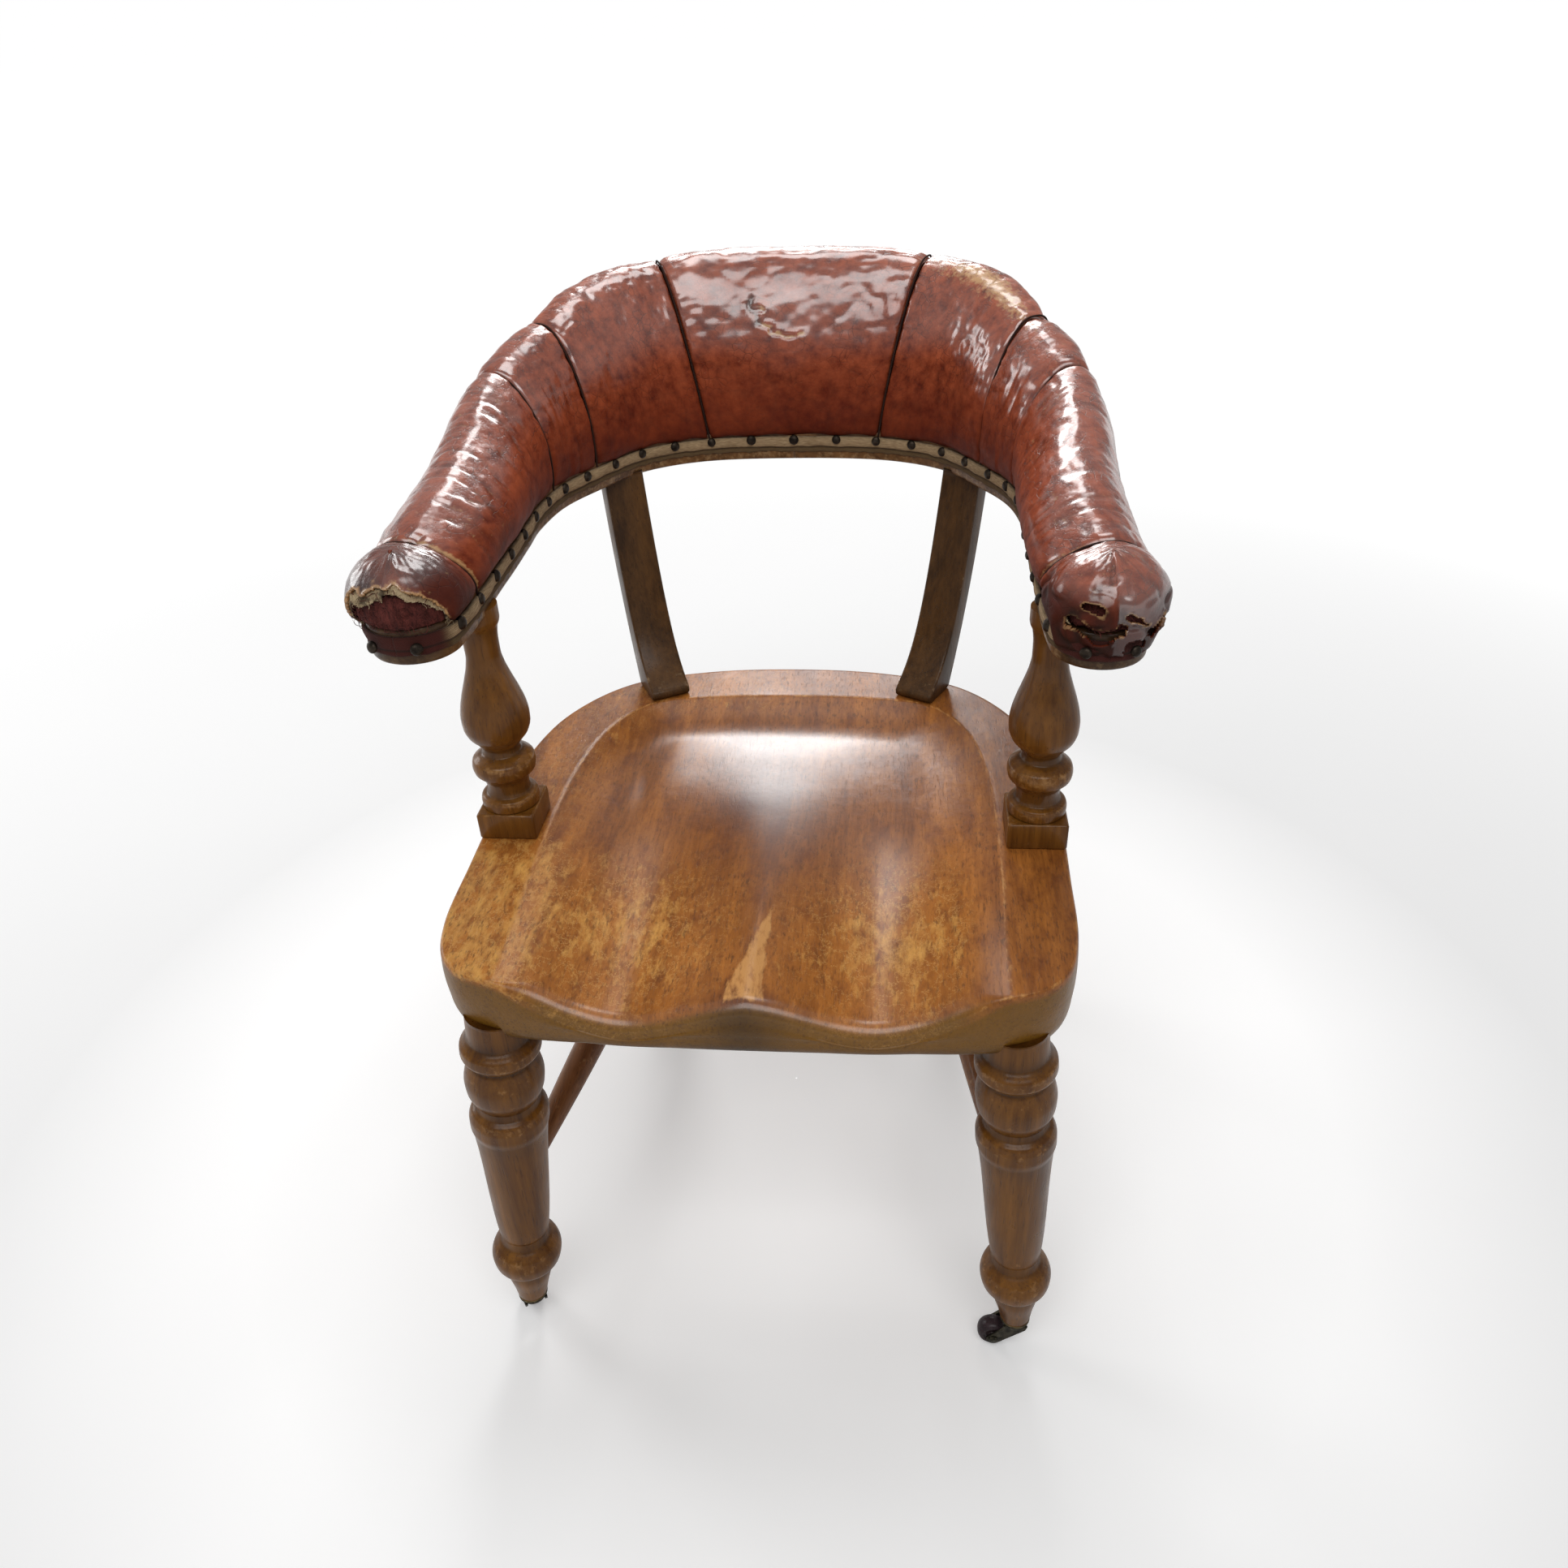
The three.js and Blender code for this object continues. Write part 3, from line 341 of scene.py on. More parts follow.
def noise(tree, place, scale, detail=3.0, roughness=0.5, distortion=0.0):
    made = add(tree, "TexNoise", Vector=place, Scale=scale, Detail=detail, Roughness=roughness,
               Distortion=distortion)
    return made.outputs["Fac"]


def mark(tree, name):
    return add(tree, "Attribute", {"attribute_name": name}).outputs["Fac"]


def object_place(tree):
    return add(tree, "TexCoord").outputs["Object"]


def flat_place(tree):
    return add(tree, "UVMap", {"uv_map": "flat"}).outputs["UV"]


def grey(tree, value):
    return add(tree, "CombineColor", Red=value, Green=value, Blue=value).outputs[0]


def stretched(tree, place, scale):
    return add(tree, "Mapping", Vector=place, Scale=scale).outputs["Vector"]


def bump(tree, height, depth, under=None):
    made = add(tree, "Bump", Height=height, Strength=1.0, Distance=depth)
    if under is not None:
        plug_in(tree, made.inputs["Normal"], under)
    return made.outputs["Normal"]


def new_look(name, **plain):
    """A material with a shader whose plain inputs are set; gives the material, its tree and the shader."""
    look = bpy.data.materials.new(name)
    look.use_nodes = True
    tree = look.node_tree
    shader = tree.nodes["Principled BSDF"]
    plug_all(tree, shader, plain)
    return look, tree, shader


def new_group(name, takes, gives, kind="ShaderNodeTree"):
    """A node group with its named inputs and outputs; gives the group, what it takes and what it gives."""
    group = bpy.data.node_groups.new(name, kind)
    for socket, sort, value in takes:
        made = group.interface.new_socket(socket, in_out="INPUT", socket_type="NodeSocket" + sort)
        if value is not None:
            made.default_value = (*value, 1) if sort == "Color" else value
    for socket, sort in gives:
        group.interface.new_socket(socket, in_out="OUTPUT", socket_type="NodeSocket" + sort)
    return group, group.nodes.new("NodeGroupInput").outputs, group.nodes.new("NodeGroupOutput").inputs


def put(tree, group, **inputs):
    made = add(tree, "Group", {"node_tree": group})
    plug_all(tree, made, inputs)
    return made.outputs


# Effects that several finishes share


def wood_figure():
    """Streaks and pores of wood; the place that it reads is squeezed along the grain."""
    group, takes, gives = new_group("wood figure", [
        ("Place", "Vector", None), ("Dark", "Color", (0.1, 0.04, 0.015)),
        ("Light", "Color", (0.3, 0.13, 0.05)), ("Streaks", "Float", 40.0), ("Pores", "Float", 0.5),
    ], [("Colour", "Color"), ("Height", "Float")])
    place, streaks = takes["Place"], takes["Streaks"]
    broad = noise(group, place, streaks, 5.0, 0.6, 0.6)
    fine = noise(group, place, times(group, streaks, 7.0), 3.0, 0.6)
    tone = weighed(group, broad, 0.65, fine, 0.35)
    colour = mix(group, ranged(group, tone, 0.36, 0.64), takes["Dark"], takes["Light"])
    pore = ranged(group, noise(group, place, times(group, streaks, 22.0), 2.0, 0.5), 0.6, 0.7)
    shade = sum_up(group, "SUBTRACT", 1.0, times(group, pore, takes["Pores"]))
    plug_in(group, gives["Colour"], mix(group, 1.0, colour, grey(group, shade), "MULTIPLY"))
    plug_in(group, gives["Height"], sum_up(group, "SUBTRACT", times(group, fine, 0.5), pore))
    return group


def patchy_wear():
    """Lets a worn colour through where the wear mark is strong, with ragged edges."""
    group, takes, gives = new_group("patchy wear", [
        ("Place", "Vector", None), ("Colour", "Color", (0.2, 0.1, 0.05)), ("Worn", "Color", (0.5, 0.3, 0.15)),
        ("Wear", "Float", 0.0), ("Size", "Float", 90.0),
    ], [("Colour", "Color"), ("Mask", "Float")])
    rough = noise(group, takes["Place"], takes["Size"], 6.0, 0.65)
    rough = times(group, sum_up(group, "SUBTRACT", rough, 0.5), 1.6)
    reach = sum_up(group, "ADD", takes["Wear"], rough)
    share = times(group, ranged(group, reach, 0.35, 0.75), ranged(group, takes["Wear"], 0.0, 0.12))
    plug_in(group, gives["Colour"], mix(group, share, takes["Colour"], takes["Worn"]))
    plug_in(group, gives["Mask"], share)
    return group


def shade_and_grime():
    """Darkens hollows, creases and corners by a mark: painted shade, with some real grime."""
    group, takes, gives = new_group("shade and grime", [
        ("Place", "Vector", None), ("Colour", "Color", (0.2, 0.1, 0.05)), ("Soil", "Float", 0.0),
    ], [("Colour", "Color")])
    cloud = noise(group, takes["Place"], 60.0, 4.0, 0.6)
    share = times(group, takes["Soil"], ranged(group, cloud, 0.25, 0.7, 0.55, 1.0), held=True)
    plug_in(group, gives["Colour"], mix(group, share, takes["Colour"], SHADE_AND_GRIME_COLOUR))
    return group


# The near-black of painted shade in hollows, creases and corners, and of grime.
SHADE_AND_GRIME_COLOUR = (0.018, 0.01, 0.007)
FIGURE = wood_figure()
WEAR = patchy_wear()
SHADE_AND_GRIME = shade_and_grime()


def shaded_and_grimed(tree, place, colour):
    """A colour darkened where the hollow mark is strong: painted shade, with some grime."""
    return put(tree, SHADE_AND_GRIME, Place=place, Colour=colour, Soil=mark(tree, "hollow"))["Colour"]


# Finishes

SEAT_COLOURS = dict(
    dark=(0.17, 0.05, 0.01), light=(0.45, 0.16, 0.03), blush=(0.52, 0.19, 0.032), mottle=(0.15, 0.04, 0.011),
    smudge_and_shade=(0.09, 0.028, 0.018), face=(0.195, 0.092, 0.01), gold=(0.66, 0.33, 0.08), vein=(0.66, 0.36, 0.11),
    fleck=(0.075, 0.027, 0.01), pale=(0.58, 0.28, 0.085),
)
LEATHER_COLOURS = dict(
    dark=(0.095, 0.009, 0.003), light=(0.255, 0.042, 0.011), glow=(0.5, 0.115, 0.045),
    crack=(0.05, 0.014, 0.009), scuff=(0.45, 0.2, 0.1), darkened=(0.06, 0.012, 0.009), rubbed=(0.58, 0.32, 0.14),
)
HESSIAN_COLOURS = dict(dark=(0.2, 0.125, 0.06), light=(0.62, 0.46, 0.27), stain=(0.085, 0.05, 0.02),
                       dark_tip=(0.075, 0.016, 0.012))
THREAD_PITCH = 0.0017  # metres


def wood_look(name, squeeze, dark, light, worn, streaks=40.0, pores=0.35, dullness=0.32, coat=0.08):
    look, tree, shader = new_look(name, Coat_Weight=coat, Coat_Roughness=0.16, Specular_IOR_Level=0.16)
    place = object_place(tree)
    grain = put(tree, FIGURE, Place=stretched(tree, place, squeeze), Dark=dark, Light=light, Streaks=streaks,
                Pores=pores)
    # The proud mark is wear; at the uprights' toes it also carries a painted highlight.
    proud = times(tree, mark(tree, "proud"), 0.75)
    rubbed = put(tree, WEAR, Place=place, Colour=grain["Colour"], Worn=worn, Wear=proud, Size=150.0)
    smear = ranged(tree, noise(tree, place, 30.0, 4.0), 0.3, 0.7, dullness - 0.07, dullness + 0.09)
    plug_all(tree, shader, {
        "Base Color": shaded_and_grimed(tree, place, rubbed["Colour"]),
        "Roughness": mix_value(tree, rubbed["Mask"], smear, 0.3),
        "Normal": bump(tree, grain["Height"], 0.00012),
    })
    return look


def seat_look():
    """Reddish wood polished by sitting, golden and crazed where thighs have worn it, with an olive face,
    painted shade under its edge and at the front cusp, and painted highlights along the brim and the lip.
    """
    look, tree, shader = new_look("seat wood", Coat_Roughness=0.22, Specular_IOR_Level=0.2)
    colours, place = SEAT_COLOURS, object_place(tree)

    def drawn_out(share):
        return stretched(tree, place, (1.0, share, 1.0))

    grain = put(tree, FIGURE, Place=stretched(tree, place, (1.0, 0.1, 0.5)), Dark=colours["dark"],
                Light=colours["light"], Streaks=38.0, Pores=0.35)
    cloud = noise(tree, place, 11.0, 5.0, 0.6)
    mottle = noise(tree, drawn_out(0.5), 60.0, 5.0, 0.65)
    fleck = ranged(tree, noise(tree, drawn_out(0.3), 420.0, 3.0, 0.6), 0.53, 0.68)
    fleck = times(tree, fleck, ranged(tree, cloud, 0.35, 0.6, 0.25, 0.6))
    worn = mark(tree, "gold")
    blush = times(tree, worn, ranged(tree, cloud, 0.3, 0.7, 0.3, 0.9))
    colour = mix(tree, blush, grain["Colour"], colours["blush"])
    colour = mix(tree, ranged(tree, mottle, 0.48, 0.66, 0.0, 0.6), colour, colours["mottle"])
    # Darker in the middle of the dish, a smudge in the wood; at the front cusp the same darkening is painted
    # shade.
    smudge_and_shade = times(tree, mark(tree, "smudge_and_shade"), ranged(tree, cloud, 0.3, 0.7, 0.6, 1.0))
    colour = mix(tree, smudge_and_shade, colour, colours["smudge_and_shade"])
    colour = mix(tree, times(tree, mark(tree, "face"), 0.88), colour, colours["face"])
    gold = put(tree, WEAR, Place=drawn_out(0.4), Colour=colour, Worn=colours["gold"],
               Wear=times(tree, worn, 0.5), Size=120.0)
    wander = sum_up(tree, "ABSOLUTE", sum_up(tree, "SUBTRACT", noise(tree, place, 62.0, 5.0, 0.68), 0.5))
    vein = times(tree, ranged(tree, wander, 0.0, 0.014, 1.0, 0.0), ranged(tree, worn, 0.15, 0.7))
    colour = mix(tree, times(tree, vein, 0.75), gold["Colour"], colours["vein"])
    colour = mix(tree, fleck, colour, colours["fleck"])
    pale = put(tree, WEAR, Place=drawn_out(0.35), Colour=colour, Worn=colours["pale"],
               Wear=mark(tree, "pale"), Size=190.0)
    smear = ranged(tree, noise(tree, place, 22.0, 5.0, 0.6), 0.3, 0.7, 0.28, 0.42)
    dent = bump(tree, noise(tree, place, 75.0, 3.0), 0.0006)
    plug_all(tree, shader, {
        "Base Color": shaded_and_grimed(tree, place, pale["Colour"]),
        "Coat Weight": mix_value(tree, mark(tree, "shine"), 0.1, 1.0),
        "Roughness": mix_value(tree, pale["Mask"], smear, 0.5),
        "Normal": bump(tree, grain["Height"], 0.00014, dent),
    })
    return look


def leather_look():
    """Shiny oxblood hide, mottled and finely crazed, tan where it is rubbed through, with painted light on
    top and outside and painted shade in seams and creases.
    """
    look, tree, shader = new_look("oxblood leather", Coat_Roughness=0.2, Coat_IOR=2.2,
                                  Specular_IOR_Level=0.12)
    colours, place = LEATHER_COLOURS, flat_place(tree)
    cloud = noise(tree, place, 14.0, 4.0, 0.6)
    mottle = noise(tree, place, 75.0, 5.0, 0.62)
    tone = weighed(tree, cloud, 0.6, mottle, 0.4)
    colour = mix(tree, ranged(tree, tone, 0.36, 0.64), colours["dark"], colours["light"])
    # Lighter and more orange on top and outside: painted light.
    glow = times(tree, mark(tree, "glow"), ranged(tree, mottle, 0.3, 0.68))
    colour = mix(tree, glow, colour, colours["glow"])
    swirl = add(tree, "TexNoise", Vector=place, Scale=60.0, Detail=3.0).outputs["Color"]
    wander = add(tree, "VectorMath", {"operation": "MULTIPLY_ADD"})
    plug_all(tree, wander, {0: swirl, 1: (0.008, 0.008, 0), 2: place})
    cells = add(tree, "TexVoronoi", {"feature": "DISTANCE_TO_EDGE"}, Vector=wander.outputs[0], Scale=120.0)
    crack = ranged(tree, cells.outputs["Distance"], 0.0, 0.05, 1.0, 0.0)
    gate = times(tree, ranged(tree, noise(tree, place, 30.0, 3.0), 0.44, 0.6), mark(tree, "crazed"))
    crack = times(tree, crack, gate)
    colour = mix(tree, times(tree, crack, 0.45), colour, colours["crack"])
    scuff = ranged(tree, noise(tree, place, 260.0, 5.0, 0.7), 0.62, 0.74)
    colour = mix(tree, times(tree, scuff, mark(tree, "glow")), colour, colours["scuff"])
    colour = mix(tree, mark(tree, "darkened"), colour, colours["darkened"])
    rubbed = put(tree, WEAR, Place=place, Colour=colour, Worn=colours["rubbed"], Wear=mark(tree, "rub"),
                 Size=190.0)
    smear = mix_value(tree, mark(tree, "polish"), 0.6, ranged(tree, mottle, 0.3, 0.7, 0.2, 0.36))
    polish = times(tree, mark(tree, "polish"), ranged(tree, cloud, 0.35, 0.6, 0.6, 1.0))
    rough = mix_value(tree, polish, 0.35, 1.0)
    pits = bump(tree, noise(tree, place, 900.0, 2.0), 0.00004)
    dents = bump(tree, times(tree, noise(tree, place, 150.0, 4.0, 0.6), rough), 0.0015, pits)
    wrinkle = noise(tree, stretched(tree, place, (1.0, 0.4, 1.0)), 270.0, 3.0, 0.55, 0.8)
    dents = bump(tree, times(tree, wrinkle, rough), 0.0006, dents)
    plug_all(tree, shader, {
        "Base Color": shaded_and_grimed(tree, place, rubbed["Colour"]),
        "Roughness": mix_value(tree, rubbed["Mask"], smear, 0.6),
        "Coat Weight": mix_value(tree, polish, 0.0, 0.95),
        "Normal": bump(tree, crack, -0.0004, dents),
    })
    return look


def hair_look(name, dark, light):
    """Matted fibres, grimy where the hollow mark is strong."""
    look, tree, shader = new_look(name, Roughness=0.9, Specular_IOR_Level=0.25)
    place = object_place(tree)
    strand = noise(tree, stretched(tree, place, (1.0, 1.0, 0.25)), 700.0, 4.0, 0.7, 1.5)
    clump = noise(tree, stretched(tree, place, (1.0, 1.0, 0.3)), 190.0, 3.0)
    tone = weighed(tree, strand, 0.6, clump, 0.4)
    colour = mix(tree, ranged(tree, tone, 0.35, 0.65), dark, light)
    plug_all(tree, shader, {"Base Color": shaded_and_grimed(tree, place, colour), "Normal": bump(tree, strand, 0.0006)})
    return look


def hessian_look():
    """Coarse tan cloth, woven square, with slubs and stains."""
    look, tree, shader = new_look("hessian", Roughness=0.92, Specular_IOR_Level=0.15, Sheen_Weight=0.05)
    place = flat_place(tree)
    parts = add(tree, "SeparateXYZ", Vector=place).outputs
    weave = times(tree, *(sum_up(tree, "SINE", times(tree, parts[axis], 2 * math.pi / THREAD_PITCH))
                          for axis in ("X", "Y")))
    slub = noise(tree, stretched(tree, place, (1.0, 6.0, 1.0)), 160.0, 3.0, 0.6)
    tone = sum_up(tree, "ADD", times(tree, ranged(tree, weave, -1.0, 1.0), 0.35), slub)
    colour = mix(tree, ranged(tree, tone, 0.4, 1.0), HESSIAN_COLOURS["dark"], HESSIAN_COLOURS["light"])
    for name in ("stain", "dark_tip"):
        colour = mix(tree, mark(tree, name), colour, HESSIAN_COLOURS[name])
    plug_all(tree, shader, {"Base Color": shaded_and_grimed(tree, place, colour), "Normal": bump(tree, tone, 0.0006)})
    return look


def metal_look(name, dark, light, dullness):
    look, tree, shader = new_look(name, Metallic=0.85, Specular_IOR_Level=0.3)
    place = object_place(tree)
    tarnish = noise(tree, place, 160.0, 5.0, 0.65)
    colour = mix(tree, ranged(tree, tarnish, 0.38, 0.66), dark, light)
    plug_all(tree, shader, {
        "Base Color": shaded_and_grimed(tree, place, colour),
        "Roughness": ranged(tree, tarnish, 0.3, 0.7, dullness + 0.15, dullness - 0.08),
        "Normal": bump(tree, tarnish, 0.00015),
    })
    return look


ALONG_X, ALONG_Y, ALONG_Z = (0.06, 1.0, 1.0), (1.0, 0.06, 1.0), (1.0, 1.0, 0.06)
EVEN = (1.0, 1.0, 1.0)
SEAT_WOOD = seat_look()
LEG_WOOD = wood_look(
    "turned wood", ALONG_Z, (0.095, 0.033, 0.005), (0.24, 0.096, 0.014), (0.37, 0.19, 0.065), 30.0, coat=0.2)
UPRIGHT_WOOD = wood_look(
    "upright wood", ALONG_Z, (0.04, 0.018, 0.006), (0.125, 0.058, 0.018), (0.33, 0.22, 0.12), 30.0)
RAIL_WOOD = wood_look("rail wood", EVEN, (0.075, 0.035, 0.014), (0.24, 0.12, 0.045), (0.4, 0.25, 0.12))
SPINDLE_WOOD = wood_look(
    "stretcher wood", ALONG_Y, (0.12, 0.045, 0.018), (0.3, 0.13, 0.05), (0.42, 0.22, 0.1))
CROSS_WOOD = wood_look(
    "cross stretcher wood", ALONG_X, (0.1, 0.04, 0.016), (0.26, 0.11, 0.04), (0.4, 0.2, 0.09))
WHEEL_WOOD = wood_look(
    "castor wheel", EVEN, (0.02, 0.012, 0.014), (0.055, 0.035, 0.04), (0.12, 0.08, 0.08), 120.0, 0.3, 0.3)
LEATHER = leather_look()
STUFFING = hair_look("hair stuffing", (0.02, 0.004, 0.004), (0.19, 0.045, 0.035))
WADDING = hair_look("torn lining", (0.17, 0.11, 0.055), (0.66, 0.52, 0.32))
WAXED_CORD = hair_look("waxed cord", (0.012, 0.006, 0.004), (0.045, 0.017, 0.011))
HESSIAN = hessian_look()
TACK_IRON = metal_look("tack iron", (0.012, 0.009, 0.007), (0.05, 0.038, 0.028), 0.45)
CASTOR_IRON = metal_look("castor iron", (0.018, 0.017, 0.012), (0.085, 0.075, 0.05), 0.38)
PLATE_BRASS = metal_look("plate brass", (0.04, 0.03, 0.015), (0.18, 0.13, 0.055), 0.4)


# Turned work

TURNED_SIDES = 72
PROFILE_STEPS = 8  # between two rows of a table
MARK_REACH = 9.0  # along a profile, how far a turning's neighbours count


def profile_of(shares, radius, length):
    """Radii and heights of a finely turned line through a table of shares."""
    table = np.asarray(shares, float) * (radius, length)
    chord = np.concatenate([[0], np.cumsum(np.hypot(*np.diff(table, axis=0).T))])
    places = [np.linspace(start, end, PROFILE_STEPS, endpoint=False) for start, end in zip(chord, chord[1:])]
    places = np.append(np.concatenate(places), chord[-1])
    return eased_line(chord, table[:, 0], places), eased_line(chord, table[:, 1], places), places


def relief_marks(radii, places):
    """How proud or hollow each turning of a profile is against its neighbours."""
    near = bell(places[:, None] - places[None, :], MARK_REACH)
    level = (near @ radii) / near.sum(1)
    # The hollow share darkens the coves of a turning: painted shade.
    return np.clip((radii - level) / 2.2, 0, 1) * 0.75, np.clip((level - radii) / 2.4, 0, 1) * 0.7


def turn_rings(radii, heights, sides=TURNED_SIDES):
    angle = np.linspace(0, 2 * math.pi, sides, endpoint=False)
    ring = np.stack([np.cos(angle), np.sin(angle), np.zeros(sides)], -1)
    rings = ring[None] * np.asarray(radii)[:, None, None]
    rings[..., 2] = np.asarray(heights)[:, None]
    return rings


def stood(rings, foot, top):
    """Rings whose length runs up Z, stood on the line between two points."""
    way = Vector(np.subtract(top, foot)).normalized()
    turn = np.array(Vector((0, 0, 1)).rotation_difference(way).to_matrix())
    return rings @ turn.T + np.asarray(foot)


def turned_leg(name, leg, foot, top):
    length = float(np.linalg.norm(np.subtract(top, foot)))
    radii, heights, places = profile_of(leg["shares"], leg["radius"], length)
    proud, hollow = relief_marks(radii, places)
    rings = stood(turn_rings(radii, heights), foot, top)
    rings[..., 2] = np.maximum(rings[..., 2], LEG_FOOT_Z)
    points, faces = tube_net(rings)
    marks = {"proud": np.repeat(proud, TURNED_SIDES), "hollow": np.repeat(hollow, TURNED_SIDES)}
    return build(f"{name}_turning", points, faces, LEG_WOOD, (name,), marks=marks)


LEG_FOOT_Z = 39.3
UNDERSIDE_Z = 380
FRONT_LEG_SHARES = [
    (0.409, 0), (0.485, 0.041), (0.6, 0.09), (0.636, 0.12), (0.8, 0.138), (0.91, 0.156), (0.945, 0.182),
    (0.88, 0.207), (0.742, 0.224), (0.636, 0.236), (0.62, 0.257), (0.667, 0.269), (0.94, 0.649),
    (1, 0.678), (1, 0.7), (0.924, 0.722), (0.788, 0.734), (0.773, 0.749), (0.864, 0.766), (0.964, 0.795),
    (0.988, 0.825), (0.94, 0.854), (0.848, 0.877), (0.803, 0.886), (0.909, 0.898), (0.994, 0.915),
    (0.985, 0.933), (0.879, 0.947), (0.788, 0.959), (0.773, 1.03),
]
REAR_LEG_SHARES = [
    (0.587, 0), (0.66, 0.05), (0.78, 0.12), (0.87, 0.17), (0.92, 0.2), (0.85, 0.225), (0.78, 0.24),
    (0.86, 0.34), (0.97, 0.46), (1, 0.56), (0.97, 0.7), (0.89, 0.86), (0.83, 1.03),
]
LEGS = {
    "front": dict(top=(205, -241), foot=(225.5, -256), radius=33, shares=FRONT_LEG_SHARES),
    "rear": dict(top=(130, 140), foot=(162, 230), radius=23, shares=REAR_LEG_SHARES),
}
POST = dict(x=230, y=-59, side=51, height=25, radius=28.7)
POST_SHARES = [
    (0.8, 0), (0.87, 0.012), (0.878, 0.035), (0.84, 0.06), (0.66, 0.076), (0.63, 0.1), (0.67, 0.14),
    (0.78, 0.17), (0.92, 0.195), (0.955, 0.225), (0.92, 0.255), (0.76, 0.276), (0.575, 0.293), (0.551, 0.316),
    (0.68, 0.35), (0.9, 0.395), (0.99, 0.44), (1, 0.478), (0.96, 0.53), (0.84, 0.6), (0.67, 0.68),
    (0.55, 0.745), (0.498, 0.8), (0.503, 0.865), (0.55, 0.925), (0.62, 0.95), (0.645, 0.97), (0.645, 0.998),
]
SEAT_TOP = 440
RAIL_BOTTOM = 650
JOINT_GAP = 0.3
STRETCHER = dict(height=185, end=8.5, side=15, cross=13.5, cross_y=-10, front_inset=14, rear_inset=10,
                 cross_inset=8.0)
BLOCK = dict(bevel=1.8, corner=2.2, tenon=6, sunk=0.5)


def leg_line(leg, side):
    foot = np.array([side * leg["foot"][0], leg["foot"][1], 39.0])
    top = np.array([side * leg["top"][0], leg["top"][1], UNDERSIDE_Z - JOINT_GAP])
    return foot, top


def rounded_square(half, corner):
    """A flat ring of points round a square with rounded corners."""
    across, along, x, y = corner_ways(6)
    return np.stack([across * (half - corner) + corner * x, along * (half - corner) + corner * y], -1)


def stacked(outlines, heights):
    """Rings from flat outlines at heights."""
    return np.stack([np.column_stack([flat, np.full(len(flat), z)]) for flat, z in zip(outlines, heights)])


def arm_post(word, side):
    edge, half, height, tenon = BLOCK["bevel"], POST["side"] / 2, POST["height"], BLOCK["tenon"]
    insets = [edge, edge * 0.3, 0, 0, edge * 0.3, edge]
    heights = [0, edge * 0.3, edge, height - edge, height - edge * 0.3, height]
    base = np.array([side * POST["x"], POST["y"], SEAT_TOP + JOINT_GAP])
    block = stacked([rounded_square(half - inset, BLOCK["corner"]) for inset in insets], heights)
    length = RAIL_BOTTOM - SEAT_TOP - height
    radii, rises, places = profile_of(POST_SHARES, POST["radius"], length)
    radii, rises, places = (np.append(line, line[-1] + more)
                            for line, more in ((radii, 0), (rises, tenon), (places, tenon)))
    proud, hollow = relief_marks(radii, places)
    turning = turn_rings(radii, rises) + base + (0, 0, height - BLOCK["sunk"])
    points, faces = joined([tube_net(block + base), tube_net(turning)])
    edges = np.repeat([0.3, 0.55, 0.14, 0.14, 0.55, 0.3], block.shape[1])
    marks = {"proud": np.concatenate([edges, np.repeat(proud, TURNED_SIDES)]),
             "hollow": np.concatenate([0 * edges, np.repeat(hollow, TURNED_SIDES)])}
    return build(f"arm_post_{word}_turning", points, faces, LEG_WOOD, (f"arm_post_{word}",),
                 marks=marks, sharp=50)


def spindle(name, start, end, radius, look):
    share = np.linspace(0, 1, 60)
    swell = STRETCHER["end"] + np.sin(math.pi * share) ** 1.2 * (radius - STRETCHER["end"])
    length = float(np.linalg.norm(np.subtract(end, start)))
    points, faces = tube_net(stood(turn_rings(swell, share * length), start, end))
    marks = {"proud": np.repeat(0.12 + 0.25 * np.sin(math.pi * share), TURNED_SIDES),
             "hollow": np.repeat(0.8 * fading(np.minimum(share, 1 - share), 0.03), TURNED_SIDES)}
    return build(f"{name}_turning", points, faces, look, (name,), marks=marks)


def make_underframe():
    middles = {}
    for word, side in SIDES.items():
        ends = []
        for corner, leg in LEGS.items():
            foot, top = leg_line(leg, side)
            turned_leg(f"{corner}_leg_{word}", leg, foot, top)
            ends.append(foot + (top - foot) * (STRETCHER["height"] - foot[2]) / (top[2] - foot[2]))
        front, rear = ends
        way = (rear - front) / np.linalg.norm(rear - front)
        spindle(f"side_stretcher_{word}", front + way * STRETCHER["front_inset"],
                rear - way * STRETCHER["rear_inset"], STRETCHER["side"], SPINDLE_WOOD)
        middles[side] = front + (rear - front) * ((STRETCHER["cross_y"] - front[1]) / (rear[1] - front[1]))
    inward = np.array([STRETCHER["cross_inset"], 0, 0])
    spindle("cross_stretcher", middles[-1] + inward, middles[1] - inward, STRETCHER["cross"], CROSS_WOOD)
    for word, side in SIDES.items():
        arm_post(word, side)


make_underframe()


# Seat

SEAT = dict(half_width=256, rear=236, front=-273, dish_half_width=199, dish_rear=176, dish_front=-265,
            dish=15, pommel=9, trough=24, trough_x=95, trough_start=60, trough_end=-240, shoulder=62)
OUTLINE_SHARES = [
    (0, 1), (0.371, 0.966), (0.684, 0.843), (0.891, 0.568), (0.98, 0.212), (1, -0.147),
    (0.996, -0.44), (0.985, -0.72), (0.925, -0.885), (0.776, -0.962), (0.441, -0.992), (0, -1),
]
DISH_SHARES = [
    (0, 1), (0.402, 0.983), (0.719, 0.898), (0.905, 0.597), (0.98, 0.199), (1, -0.151),
    (1, -0.453), (0.985, -0.717), (0.975, -0.86), (0.894, -0.951), (0.553, -0.989), (0, -1),
]
PLAN_STEPS = 20  # between two points of a plan
SHOULDER_SHARE = 0.333
RIM_ROUND = 3.0
LIP_ROUND = 15.0
